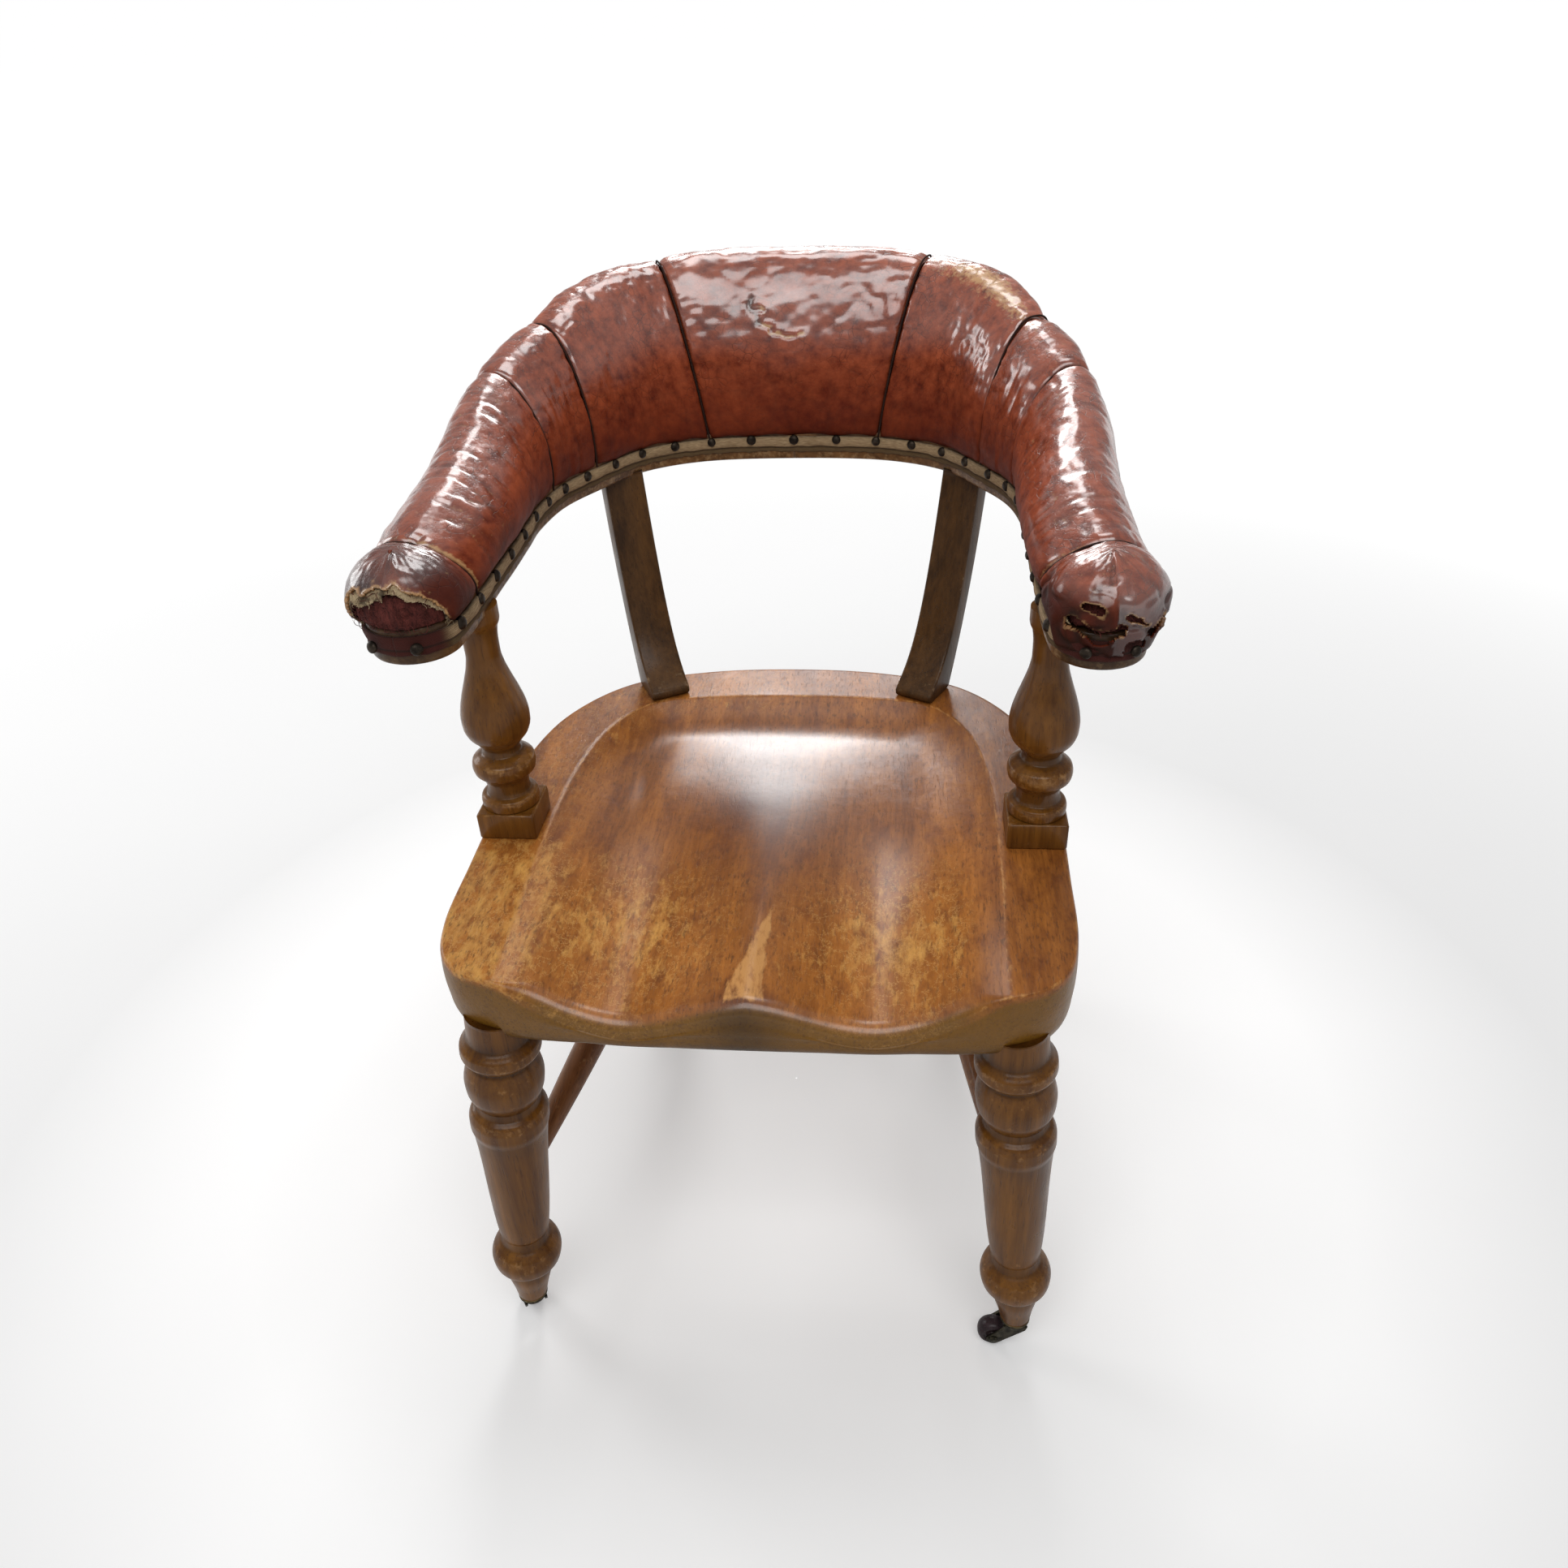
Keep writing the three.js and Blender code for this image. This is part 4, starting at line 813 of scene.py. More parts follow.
FOOT_ROUND = dict(height=18.0, inset=6.5)  # the rounding at the underside
WALL_BULGE = 1.2
RING_LIMITS = (0.93, 0.8, 0.66, 0.52, 0.4, 0.3, 0.22, 0.15, 0.09, 0.04, 0)
RING_REACHES = (99, 99, 99, 99, 15, 9, 5, 3.2, 1.8, 0.7, 0)


def plan(shares, half_width, rear, front):
    half = [(x * half_width, y * rear if y >= 0 else -y * front) for x, y in shares]
    loop = half + [(-x, y) for x, y in half[-2:0:-1]]
    return smooth_path(loop, PLAN_STEPS, closed=True)[0]


def line_distance(points, line):
    """How far points are from a line of short stretches, all in plan."""
    nearest = np.full(len(points), np.inf)
    for start, end in zip(line, line[1:]):
        way = end - start
        share = np.clip(((points - start) @ way) / max(way @ way, 1e-9), 0, 1)
        nearest = np.minimum(nearest, np.linalg.norm(points - start - share[:, None] * way, axis=1))
    return nearest


def within(points, loop):
    inside = np.zeros(len(points), bool)
    x, y = points.T
    for start, end in zip(loop, np.roll(loop, -1, axis=0)):
        if start[1] == end[1]:
            continue
        crosses = (start[1] > y) != (end[1] > y)
        inside ^= crosses & (x < start[0] + (end[0] - start[0]) * (y - start[1]) / (end[1] - start[1]))
    return inside


def make_seat():
    outline = plan(OUTLINE_SHARES, SEAT["half_width"], SEAT["rear"], SEAT["front"])
    dish = plan(DISH_SHARES, SEAT["dish_half_width"], SEAT["dish_rear"], SEAT["dish_front"])
    columns = len(outline)
    right = dish[: int(columns * SHOULDER_SHARE)]
    half = np.vstack([right, [right[-1][0], 2 * SEAT["front"]]])
    shoulder = np.vstack([half[:0:-1] * (-1, 1), half])

    def top_at(points):
        inside = within(points, shoulder)
        away = np.where(inside, line_distance(points, shoulder), 0)
        fall = np.sin(math.pi / 2 * np.minimum(1, away / SEAT["shoulder"]))
        front = ease((SEAT["trough_start"] - points[:, 1]) / (SEAT["trough_start"] - SEAT["trough_end"]))
        off = np.minimum(1, np.abs(np.abs(points[:, 0]) - SEAT["trough_x"]) / SEAT["trough_x"])
        trough = np.cos(math.pi / 2 * off) ** 2
        pinched = trough + 0.4 * front ** 3 * (1 - off ** 1.3 - trough)
        trough = np.where(np.abs(points[:, 0]) < SEAT["trough_x"], pinched, trough)
        depth = SEAT["dish"] + front * (SEAT["pommel"] - SEAT["dish"] + SEAT["trough"] * trough)
        edge = line_distance(points, np.vstack([outline, outline[:1]]))
        lip = RIM_ROUND + (LIP_ROUND - RIM_ROUND) * ease(away / 34)
        near = np.clip(1 - edge / lip, 0, 1)
        roll = lip * (1 - np.sqrt(1 - near * near))
        return SEAT_TOP - fall * depth - roll, away, edge

    centre = np.array([0, (SEAT["dish_rear"] + SEAT["dish_front"]) / 2])
    shares = np.concatenate([np.linspace(0.015, 0.84, 64), np.linspace(0.86, 1, 15)])
    flat = [centre + (dish - centre) * share for share in shares]
    inward = dish - outline
    widest = np.linalg.norm(inward, axis=1, keepdims=True)
    inward = inward / widest
    flat += [outline + inward * np.minimum(reach, widest * limit)
             for reach, limit in zip(RING_REACHES, RING_LIMITS)]
    points = np.vstack(flat)
    height, away, edge = top_at(points)
    rings = [np.column_stack([ring, z]) for ring, z in zip(flat, height.reshape(-1, columns))]
    brim = rings[-1]
    wall_foot = np.minimum(UNDERSIDE_Z + FOOT_ROUND["height"], brim[:, 2] - 2.0)
    for share in np.linspace(0, 1, 8)[1:]:
        ring = brim.copy()
        ring[:, :2] -= inward * (WALL_BULGE * math.sin(math.pi * share))
        ring[:, 2] += (wall_foot - brim[:, 2]) * share
        rings.append(ring)
    for angle in np.linspace(0, math.pi / 2, 7)[1:]:
        ring = brim.copy()
        ring[:, :2] += inward * FOOT_ROUND["inset"] * (1 - math.cos(angle))
        ring[:, 2] = UNDERSIDE_Z + (wall_foot - UNDERSIDE_Z) * (1 - math.sin(angle))
        rings.append(ring)
    solid, faces = tube_net(np.stack(rings))
    x, y, z = solid.T
    on_top = np.arange(len(solid)) < len(points)
    far, brink = np.zeros(len(solid)), np.zeros(len(solid))
    far[on_top], brink[on_top] = away, edge
    dished = ease(far / 45) * on_top
    middle = spot(x, y, (-5, 10), (75, 120))
    thigh = spot(np.abs(x), y, (115, -175), (85, 85))
    down = np.clip((-146 - y) / 112, 0, 1)
    pommel = ease((12.5 - x) / 2.5) * ease((x - 9 + 31 * down) / 5)
    pommel = pommel * ease((-143 - y) / 8) * ease((y + 266) / 6)
    board = ease((14 - x) / 3)
    ridge = np.where(on_top, bell(line_distance(np.column_stack([x, y]), shoulder), 1.6), 0)
    ridge *= np.where(y < SEAT["dish_front"] + 8, 0, 1)
    # The pale lines along the outer edge of the rim and along the front lip are painted highlights.
    brim_highlight = np.where(on_top, bell(brink - 1.2, 1.3) * (1 - dished), 0)
    lip_highlight = dished * bell(brink - 7, 5) * (y < -150)
    shine = spot(x, y, (65, -95), (58, 80)) + 1.2 * spot(x, y, (0, 125), (120, 38))
    shine += 0.9 * spot(x, y, (-128, 35), (36, 75)) + 0.75 * middle + 1.5 * lip_highlight
    front_face = np.where(on_top, dished * ease((7 - brink) / 5) * (y < -150), np.where(y < -200, 1.0, 0.0))
    # The middle of the front face, at the cusp between the troughs, is darkened: painted shade.
    cusp_shade = bell(x + 4, 20) * ease((-244 - y) / 14)
    smudge_and_shade = dished * (0.1 + 0.85 * middle * (0.75 + 0.25 * board)) - 0.45 * thigh + 0.75 * cusp_shade
    # Lighter and golden on the left half of the rim only.
    gold_rim = (1 - dished) * on_top * np.where(x < 0, 0.4 + 0.6 * ease((-60 - y) / 60), 0)
    # Darker towards the underside, painted shade under the seat's edge; on top, a little darker in the middle
    # of the dish.
    hollow = np.where(on_top, 0.08 * middle, 0.5 * ease((UNDERSIDE_Z + 14 - z) / 14))
    marks = {
        "smudge_and_shade": smudge_and_shade,
        "gold": dished * (0.9 * thigh + 0.1) * (1 - 0.8 * cusp_shade) + gold_rim,
        "shine": np.where(on_top, shine * dished + 0.1 * (1 - dished), 0),
        # Pale at the pommel and along the ridge from wear; along the brim and the lip it is painted
        # highlight.
        "pale": 0.72 * pommel * dished + 0.5 * ridge + 0.5 * brim_highlight + 0.12 * lip_highlight,
        "face": front_face,
        # Along the middle of the front face the hollow mark is painted shade.
        "hollow": hollow + 0.6 * bell(x + 2, 30) * front_face,
    }
    marks = {name: np.clip(values, 0, 1) for name, values in marks.items()}
    build("seat_board", solid, faces, SEAT_WOOD, ("seat",), marks=marks, sharp=40)


make_seat()


# Back uprights

UPRIGHT = dict(x=142.8, y=199.8, yaw=28, lean=70, bow=5, width=41, thickness=24, corner=2.6, tenon=4, toe=27,
               toe_start=9, toe_fade=25, toe_round=8.0, heel=4.6, heel_fade=45)


def back_upright(word, side):
    size = UPRIGHT
    height = RAIL_BOTTOM - SEAT_TOP + size["tenon"]
    rises = np.concatenate([np.linspace(0, 30, 21), np.linspace(33, height, 60)])
    share = np.minimum(1, rises / (RAIL_BOTTOM - SEAT_TOP))
    lean = size["lean"] * share + size["bow"] * np.sin(math.pi * share)
    front = lean - size["thickness"] / 2
    front -= size["toe"] * fading(np.maximum(0, rises - size["toe_start"]), size["toe_fade"])
    back = lean + size["thickness"] / 2 - size["heel"] * fading(rises, size["heel_fade"])
    under_toe = np.clip(1 - rises / size["toe_round"], 0, 1)
    front += size["toe_round"] * (1 - np.sqrt(np.clip(1 - under_toe ** 2, 0, 1)))
    pull_in = 1.2 * (1 - np.minimum(1, rises / 2.0))
    corner = size["corner"]
    sideways, forward, x, y = corner_ways(5)
    rings = []
    for low, high, z, inset in zip(front, back, rises, pull_in):
        half = np.array([size["width"] / 2, (high - low) / 2]) - inset
        rings.append(np.column_stack([(half[0] - corner) * sideways + corner * x,
                                      (half[1] - corner) * forward + corner * y + (high + low) / 2,
                                      np.full(len(x), z)]))
    edge = np.tile(np.array([0.35, 0.8, 1.0, 0.8, 0.35] * 4), (len(rises), 1))
    # The front of the toe is made lighter through the proud mark: a painted highlight.
    toe = bell(rises - 16, 14)[:, None] * (forward < 0)
    marks = {"proud": (0.3 * edge + 0.16 * toe).ravel(),
             "hollow": np.repeat(0.7 * fading(rises, 2.5) + 0.35 * fading(height - rises, 9), len(x))}
    stand = (side * size["x"], size["y"], SEAT_TOP + JOINT_GAP)
    points, faces = tube_net(swung(np.stack(rings), stand, -side * size["yaw"]))
    build(f"back_upright_{word}_blade", points, faces, UPRIGHT_WOOD, (f"back_upright_{word}",),
          marks=marks)


for word, side in SIDES.items():
    back_upright(word, side)


# The horseshoe rail and everything that runs along it. A place on it has a run, the distance along
# its centre line from the rear centre, and a turn, which swings round the tip once the run is used up.

RAIL = dict(thickness=30, half_width=28, tip_half_width=35, tip_run=120, span=247, rear=334, tip=(254, -119))
RAIL_SHARES = [
    (1.006, -0.5), (0.994, 0), (0.996, 0.2), (0.998, 0.335),
    (0.96, 0.512), (0.868, 0.661), (0.692, 0.858), (0.405, 0.972),
]


def rail_line():
    half = [RAIL["tip"]]
    half += [(x * RAIL["span"], y * (RAIL["rear"] if y >= 0 else -RAIL["tip"][1])) for x, y in RAIL_SHARES]
    whole = [(-x, y) for x, y in half] + [(0, RAIL["rear"])] + half[::-1]
    points, ways = smooth_path(whole, 80, closed=False)
    length = np.concatenate([[0], np.cumsum(np.linalg.norm(np.diff(points, axis=0), axis=1))])
    return length - length[-1] / 2, points, ways


RAIL_RUNS, RAIL_PLACES, RAIL_WAYS = rail_line()
HALF_RUN = RAIL_RUNS[-1]
RAIL_TOP = RAIL_BOTTOM + RAIL["thickness"]
PAD = dict(base=RAIL_TOP - 5, gap=0.6, leather=2.5, crown=3.2, crown_run=26, rise=(40, 575))
SEAMS = np.array([94.0, 255.0, 335.0, HALF_RUN - 41.3])
PANELS = ("back", "shoulder", "elbow", "arm", "cap")
PANEL_ENDS = np.array([0, *SEAMS, HALF_RUN])
SEAM_SLANTS = np.array([0, 30.0, 0, 0, 30.0, 0])
PANEL_GAP = 0.15
TIP_SWING = 38.0  # millimetres of border to a radian of the tip
TIP_GIRTH = 35.0  # millimetres of hide to a radian of the tip


def rail_at(run):
    point = np.stack([np.interp(run, RAIL_RUNS, RAIL_PLACES[:, axis]) for axis in (0, 1)], -1)
    way = np.stack([np.interp(run, RAIL_RUNS, RAIL_WAYS[:, axis]) for axis in (0, 1)], -1)
    way = way / np.linalg.norm(way, axis=-1, keepdims=True)
    return point, way, np.stack([-way[..., 1], way[..., 0]], -1)


def tipness(run):
    return ease((np.abs(run) - (HALF_RUN - RAIL["tip_run"])) / RAIL["tip_run"])


def half_width(run):
    return RAIL["half_width"] + tipness(run) * (RAIL["tip_half_width"] - RAIL["half_width"])


def backness(run):
    start, end = PAD["rise"]
    return 0.5 * (1 + np.cos(math.pi * np.clip((np.abs(run) - start) / (end - start), 0, 1)))


def blend(run, back, arm, tip):
    return arm + backness(run) * (back - arm) + tipness(run) * (tip - arm)


def pad_top(run):
    return blend(run, 843, 738, 727)


def seam_distance(run):
    return np.min([np.abs(np.abs(run) - seam) for seam in SEAMS], axis=0)


def crown(run):
    return PAD["crown"] * (1 - fading(seam_distance(run), PAD["crown_run"]))


def placed(run, turn, offset, z, reach):
    """Points of sections: offset outwards, height, and how far ahead of the tip they swing."""
    rise = np.maximum(0, z - PAD["base"]) / (pad_top(run) - PAD["base"])
    slant = np.interp(np.abs(run), PANEL_ENDS, SEAM_SLANTS)
    point, way, out = rail_at(run + np.sign(run) * slant * rise)
    ahead = np.sign(run) * np.sin(turn) * reach
    flat = point + way * ahead[..., None] + out * (offset * np.cos(turn))[..., None]
    return np.concatenate([flat, (z + 0 * ahead)[..., None]], -1)


def arch(run, turn, angle, depth):
    """The roll's section, from its inner skirt at angle 0 over the top to its outer skirt."""
    bulge = blend(run, 0.05, 0.3, 0.14)
    power = blend(run, 3.2, 2.3, 2.3)
    lean = 5 + backness(run) * 27
    half = half_width(run) + PAD["gap"] + PAD["leather"] + crown(run) - depth
    height = pad_top(run) + crown(run) - PAD["base"] - depth
    across = np.abs(np.cos(angle)) ** (2 / power)
    up = np.maximum(0, np.sin(angle)) ** (2 / power)
    swell = half * (1 + bulge * np.sin(math.pi * up))
    reach = swell * (across + 0.2 * (1 - across))
    fall = 0.1 * across * np.sin(turn) ** 2
    offset = lean * up ** 1.5 - np.sign(np.cos(angle)) * across * swell
    return offset, PAD["base"] + height * up * (1 - fall), reach


def stations(first, last, step, tip_steps=0):
    """Runs and turns from one run to another, and on round the tip."""
    runs = np.linspace(first, last, max(2, int(abs(last - first) / step) + 1))
    turns = np.linspace(0, math.pi / 2, tip_steps + 1)[1:]
    return np.append(runs, np.full(tip_steps, last)), np.append(np.zeros(len(runs)), turns)


def over_net(row_values, like):
    """The value of each row at every point of a net."""
    return row_values[:, None] + 0 * like


def roll_net(runs, turns, columns, depth=0.0):
    """Evenly spaced points over the roll, with their girth from the inner skirt."""
    runs, turns = runs[:, None], turns[:, None]
    fine = np.linspace(0, math.pi, 801)[None, :]
    offset, z, _ = arch(runs, turns, fine, depth)
    stretch = np.hypot(np.diff(offset, axis=1), np.diff(z, axis=1))
    girth = np.concatenate([np.zeros((len(runs), 1)), np.cumsum(stretch, axis=1)], axis=1)
    share = np.linspace(0, 1, columns)
    angle = np.stack([np.interp(share * row[-1], row, fine[0]) for row in girth])
    offset, z, reach = arch(runs, turns, angle, depth)
    return placed(runs + 0 * angle, turns + 0 * angle, offset, z, reach), share[None, :] * girth[:, -1:]


def facing(points):
    """Unit normals of a net, out of the roll."""
    along = np.gradient(points, axis=0)
    across = np.gradient(points, axis=1)
    normal = np.cross(along, across)
    size = np.linalg.norm(normal, axis=-1, keepdims=True)
    return normal / np.maximum(size, 1e-9)


# Leather

COLUMNS = 151
TACK_PITCH = {"back": 46.0, "arm": 42.0}
FIRST_ARM_TACK = 272.0
TEAR_LINE = np.array([
    (-34, 137), (-35, 128), (-31, 122), (-29, 113), (-20, 107), (-15, 102), (-7, 101), (-3, 97), (8, 100),
])
TEAR_BRANCH = np.array([(-33, 125), (-27, 127), (-22, 124)])


def pinch_at(swing):
    """1 at the tacks of the border and 0 between them."""
    far = np.abs(swing)
    on_arm = far >= FIRST_ARM_TACK - TACK_PITCH["arm"] / 2
    phase = np.where(on_arm, (far - FIRST_ARM_TACK) / TACK_PITCH["arm"], far / TACK_PITCH["back"])
    return 0.5 + 0.5 * np.cos(2 * math.pi * phase)


def arm_share(run):
    return ease((np.abs(run) - 250) / 90)


def leather_relief(run, turn, girth, whole):
    """How far the hide stands off its smooth form, in millimetres, and its marks: wear, painted light on top
    and outside, and painted shade in seams and creases.
    """
    side, far = np.sign(run), np.abs(run)
    flat = np.stack([run + side * turn * TIP_GIRTH, girth], -1)
    share = girth / whole
    near_seam = seam_distance(run) + 200 * (turn > 0)
    past_cap_seam = far - SEAMS[-1]
    skirt = np.minimum(girth, whole - girth)
    high = ease((0.5 - np.abs(share - 0.5)) / 0.3)
    arm = arm_share(run)
    cap = ease(past_cap_seam / 20)
    pinch = pinch_at(run + side * turn * TIP_SWING)

    # swells and lumps of the stuffing
    height = 1.5 * lumps(flat, 58, 3) + 0.75 * lumps(flat, 24, 5)
    height += (0.5 * lumps(flat, 11, 7) + 0.22 * lumps(flat / (0.8, 1.5), 6, 139)) * (0.25 + 0.75 * high)
    height += 0.2 * lumps(flat, 4, 173) * high

    # creases: crumpled on the back, rippled on the arms, folded in the bends, drawn in at the seams
    crumple = creases(flat / (1.25, 1.0) + 3 * drift(flat, 19, 83, 89), 11, 19, 0.17)
    crumpled = 0.8 * crumple * ease((share - 0.2) / 0.15) * (1 - arm)
    height -= crumpled * (0.5 + 0.5 * ease(0.5 + lumps(flat, 42, 23)))
    warped = flat / (1.0, 5.5) + 1.6 * np.stack([lumps(flat, 26, 11), 0 * run], -1)
    ripple = creases(warped, 8.5, 13, 0.16) * ease(0.6 + 1.2 * lumps(flat, 34, 17))
    height -= 1.0 * ripple * arm * high * (1 - 0.6 * cap)
    bend = bell(far - 290, 62) * ease((0.42 - share) / 0.2)
    height -= 1.3 * bend * creases(flat / (1.0, 7.0), 12, 29, 0.2)
    bent = np.stack([flat[..., 0] + 0.35 * side * (girth - 60), girth / 3.5], -1)
    across = creases(bent, 9.5, 97, 0.18) * fading(near_seam, 26) * ease((share - 0.12) / 0.2) * (1 - arm)
    height -= 0.8 * across
    pull = fading(near_seam, 15) * lumps(np.stack([0 * run + 3 * side, girth], -1), 8.5, 31)
    height += 1.25 * np.minimum(pull, 0.15)

    # seams, tacked skirts and the flattened right shoulder
    bends = ease((far - 200) / 20) * ease((HALF_RUN - 100 - far) / 20)
    faded = bends * np.where(side < 0, ease((share - 0.4) / 0.15), ease((0.4 - share) / 0.15))
    height -= (1 - 0.75 * faded) * (2.7 * bell(near_seam, 2.1) + 1.4 * fading(near_seam, 8))
    height -= (crown(run) + 0.3) * fading(skirt, 6) + 1.7 * pinch * fading(skirt, 9)
    height -= 1.4 * (bell(run - 215, 72) * bell(share - 0.5, 0.1))

    # the crushed right cap and the split in the back
    crushed = cap * (side > 0) * ease((46 - skirt) / 26)
    folds = creases(flat / (1.3, 1.0), 12, 101, 0.24)
    height += crushed * (2.2 * lumps(flat, 15, 103) - 2.8 * folds)
    ragged = (flat + 2.4 * drift(flat, 6, 107, 109)).reshape(-1, 2)
    tear = np.minimum(line_distance(ragged, TEAR_LINE), line_distance(ragged, TEAR_BRANCH)).reshape(run.shape)
    slit = line_distance(ragged, TEAR_LINE[:4]).reshape(run.shape)
    height += 1.6 * bell(tear, 6) - 2.8 * bell(tear, 1.7)

    # wear: rubbed tan; seams, creases, folds and the slit darkened, partly dirt and partly painted shade; top
    # and outside brighter, which is painted light
    strip = bell(run - 185, 88) * bell(share - 0.475, 0.045)
    stitched = bell(near_seam, 1.6) * (1 - 0.8 * faded) * (1 - 0.35 * high)
    cap_welt = bell(past_cap_seam + 2.6, 1.7) * (turn == 0) * (side < 0)
    cap_welt *= 0.35 + 0.65 * ease((0.5 - share) / 0.2)
    cap_welt += 0.5 * bell(past_cap_seam + 2.0, 1.6) * (turn == 0) * (side > 0) * (share < 0.4)
    dark_slit = bell(slit, 2.8)
    torn = bell(tear, 3.0) * ease(0.9 + 1.2 * lumps(flat, 5, 113)) * (1 - dark_slit)
    rub = 0.8 * strip + 0.7 * cap_welt + 0.9 * torn + 0.3 * fading(skirt, 1.5) * (1 - pinch)
    rub += 0.15 * high * arm + 0.14 * ripple * arm + 0.1 * across
    # The hollow mark darkens seams, less so on top, and ripples, crumples, folds and the slit: painted shade,
    # with some dirt; it also darkens the skirt and caps.
    hollow = 0.85 * stitched * (1 - np.clip(cap_welt, 0, 1)) + 0.4 * ripple * arm + 0.2 * crumple * (1 - arm)
    hollow += 0.3 * fading(skirt, 9) + 0.5 * crushed * folds + 0.25 * crushed + 0.2 * cap * (side < 0)
    hollow += 0.95 * dark_slit + 0.6 * bell(tear, 0.9) * (1 - torn)
    # The top and outside are painted lighter and more orange: painted light.
    outside = ease((share - 0.42) / 0.14) * (1 - arm)
    # Darker on the caps, and darker towards the skirt.
    old = cap * np.where(side < 0, 0.68, 0.75 * ease((48 - skirt) / 30)) * (1 + 0.6 * lumps(flat, 22, 163))
    polish = ease((share - 0.19 + 0.05 * lumps(flat, 60, 149)) / 0.12)
    marks = {
        "rub": rub,
        "hollow": hollow,
        "glow": 0.35 * outside + high * (0.6 + 0.1 * backness(run)) + 0.3 * strip,
        "crazed": 0.25 + 0.75 * high,
        "darkened": old + 0.25 * fading(skirt, 28),
        "polish": polish * (1 - 0.5 * ease((share - 0.8) / 0.15)),
    }
    return height, {name: np.clip(values, 0, 1) for name, values in marks.items()}


def shell(outer, inner, keep, open_last=False):
    """Faces of a hide between two nets, with holes where keep is false and every edge closed."""
    rows, columns = outer.shape[:2]
    index = np.arange(rows * columns).reshape(rows, columns)
    under = index + rows * columns
    quads = np.stack([index[:-1, :-1], index[:-1, 1:], index[1:, 1:], index[1:, :-1]], -1)
    faces = quads[keep].tolist() + (quads[keep][:, ::-1] + rows * columns).tolist()
    padded = np.zeros((rows + 1, columns + 1), bool)
    padded[1:-1, 1:-1] = keep
    for before, after, start, end in (
        (padded[:-1, 1:-1], padded[1:, 1:-1], index[:, :-1], index[:, 1:]),
        (padded[1:-1, 1:], padded[1:-1, :-1], index[:-1, :], index[1:, :]),
    ):
        for lone, first, last in ((after & ~before, start, end), (before & ~after, end, start)):
            if open_last:
                lone = lone.copy()
                if first.shape[0] == rows:
                    lone[-1] = False
            a, b = first[lone], last[lone]
            faces += np.stack([b, a, under.ravel()[a], under.ravel()[b]], -1).tolist()
    return np.vstack([outer.reshape(-1, 3), inner.reshape(-1, 3)]), faces


def closed_tip(points):
    """Brings both halves of the last section together on the tip's centre line."""
    points[-1] = (points[-1] + points[-1, ::-1]) / 2
    return points


LEFT_TEAR = np.array([
    (-46, 0), (-41, 7), (-36, 21), (-27, 33), (-17, 37), (-10, 45), (5, 41), (15, 34), (24, 36), (32, 22),
    (38, 0),
])
RIGHT_TEARS = ((4.4, [(-25, 17), (-11, 8), (2, 13)]), (3.8, [(11, 2), (20, 3)]), (4.2, [(26, 9), (32, 18)]),
               (2.6, [(-20, 28), (-9, 26)]), (2.4, [(9, 21), (17, 15)]))
HIDE = dict(under=2.1, drape=3.4, droop=13)


def torn_open(side, turn, girth, whole, grow=0.0, seed=37):
    """Above 0 where a cap's hide has worn away; grow widens the hole, in millimetres."""
    around = np.where(girth < whole / 2, turn - math.pi / 2, math.pi / 2 - turn) * TIP_GIRTH
    low = np.minimum(girth, whole - girth)
    flat = np.stack([around, low], -1)
    if side < 0:
        edge = np.interp(around, *LEFT_TEAR.T) - low
    else:
        places = flat.reshape(-1, 2)
        holes = [reach - line_distance(places, np.array(line, float)) for reach, line in RIGHT_TEARS]
        edge = np.max(holes, axis=0).reshape(around.shape)
    return edge + grow + 1.9 * lumps(flat, 9, seed) + 1.2 * lumps(flat, 3.5, seed + 4)


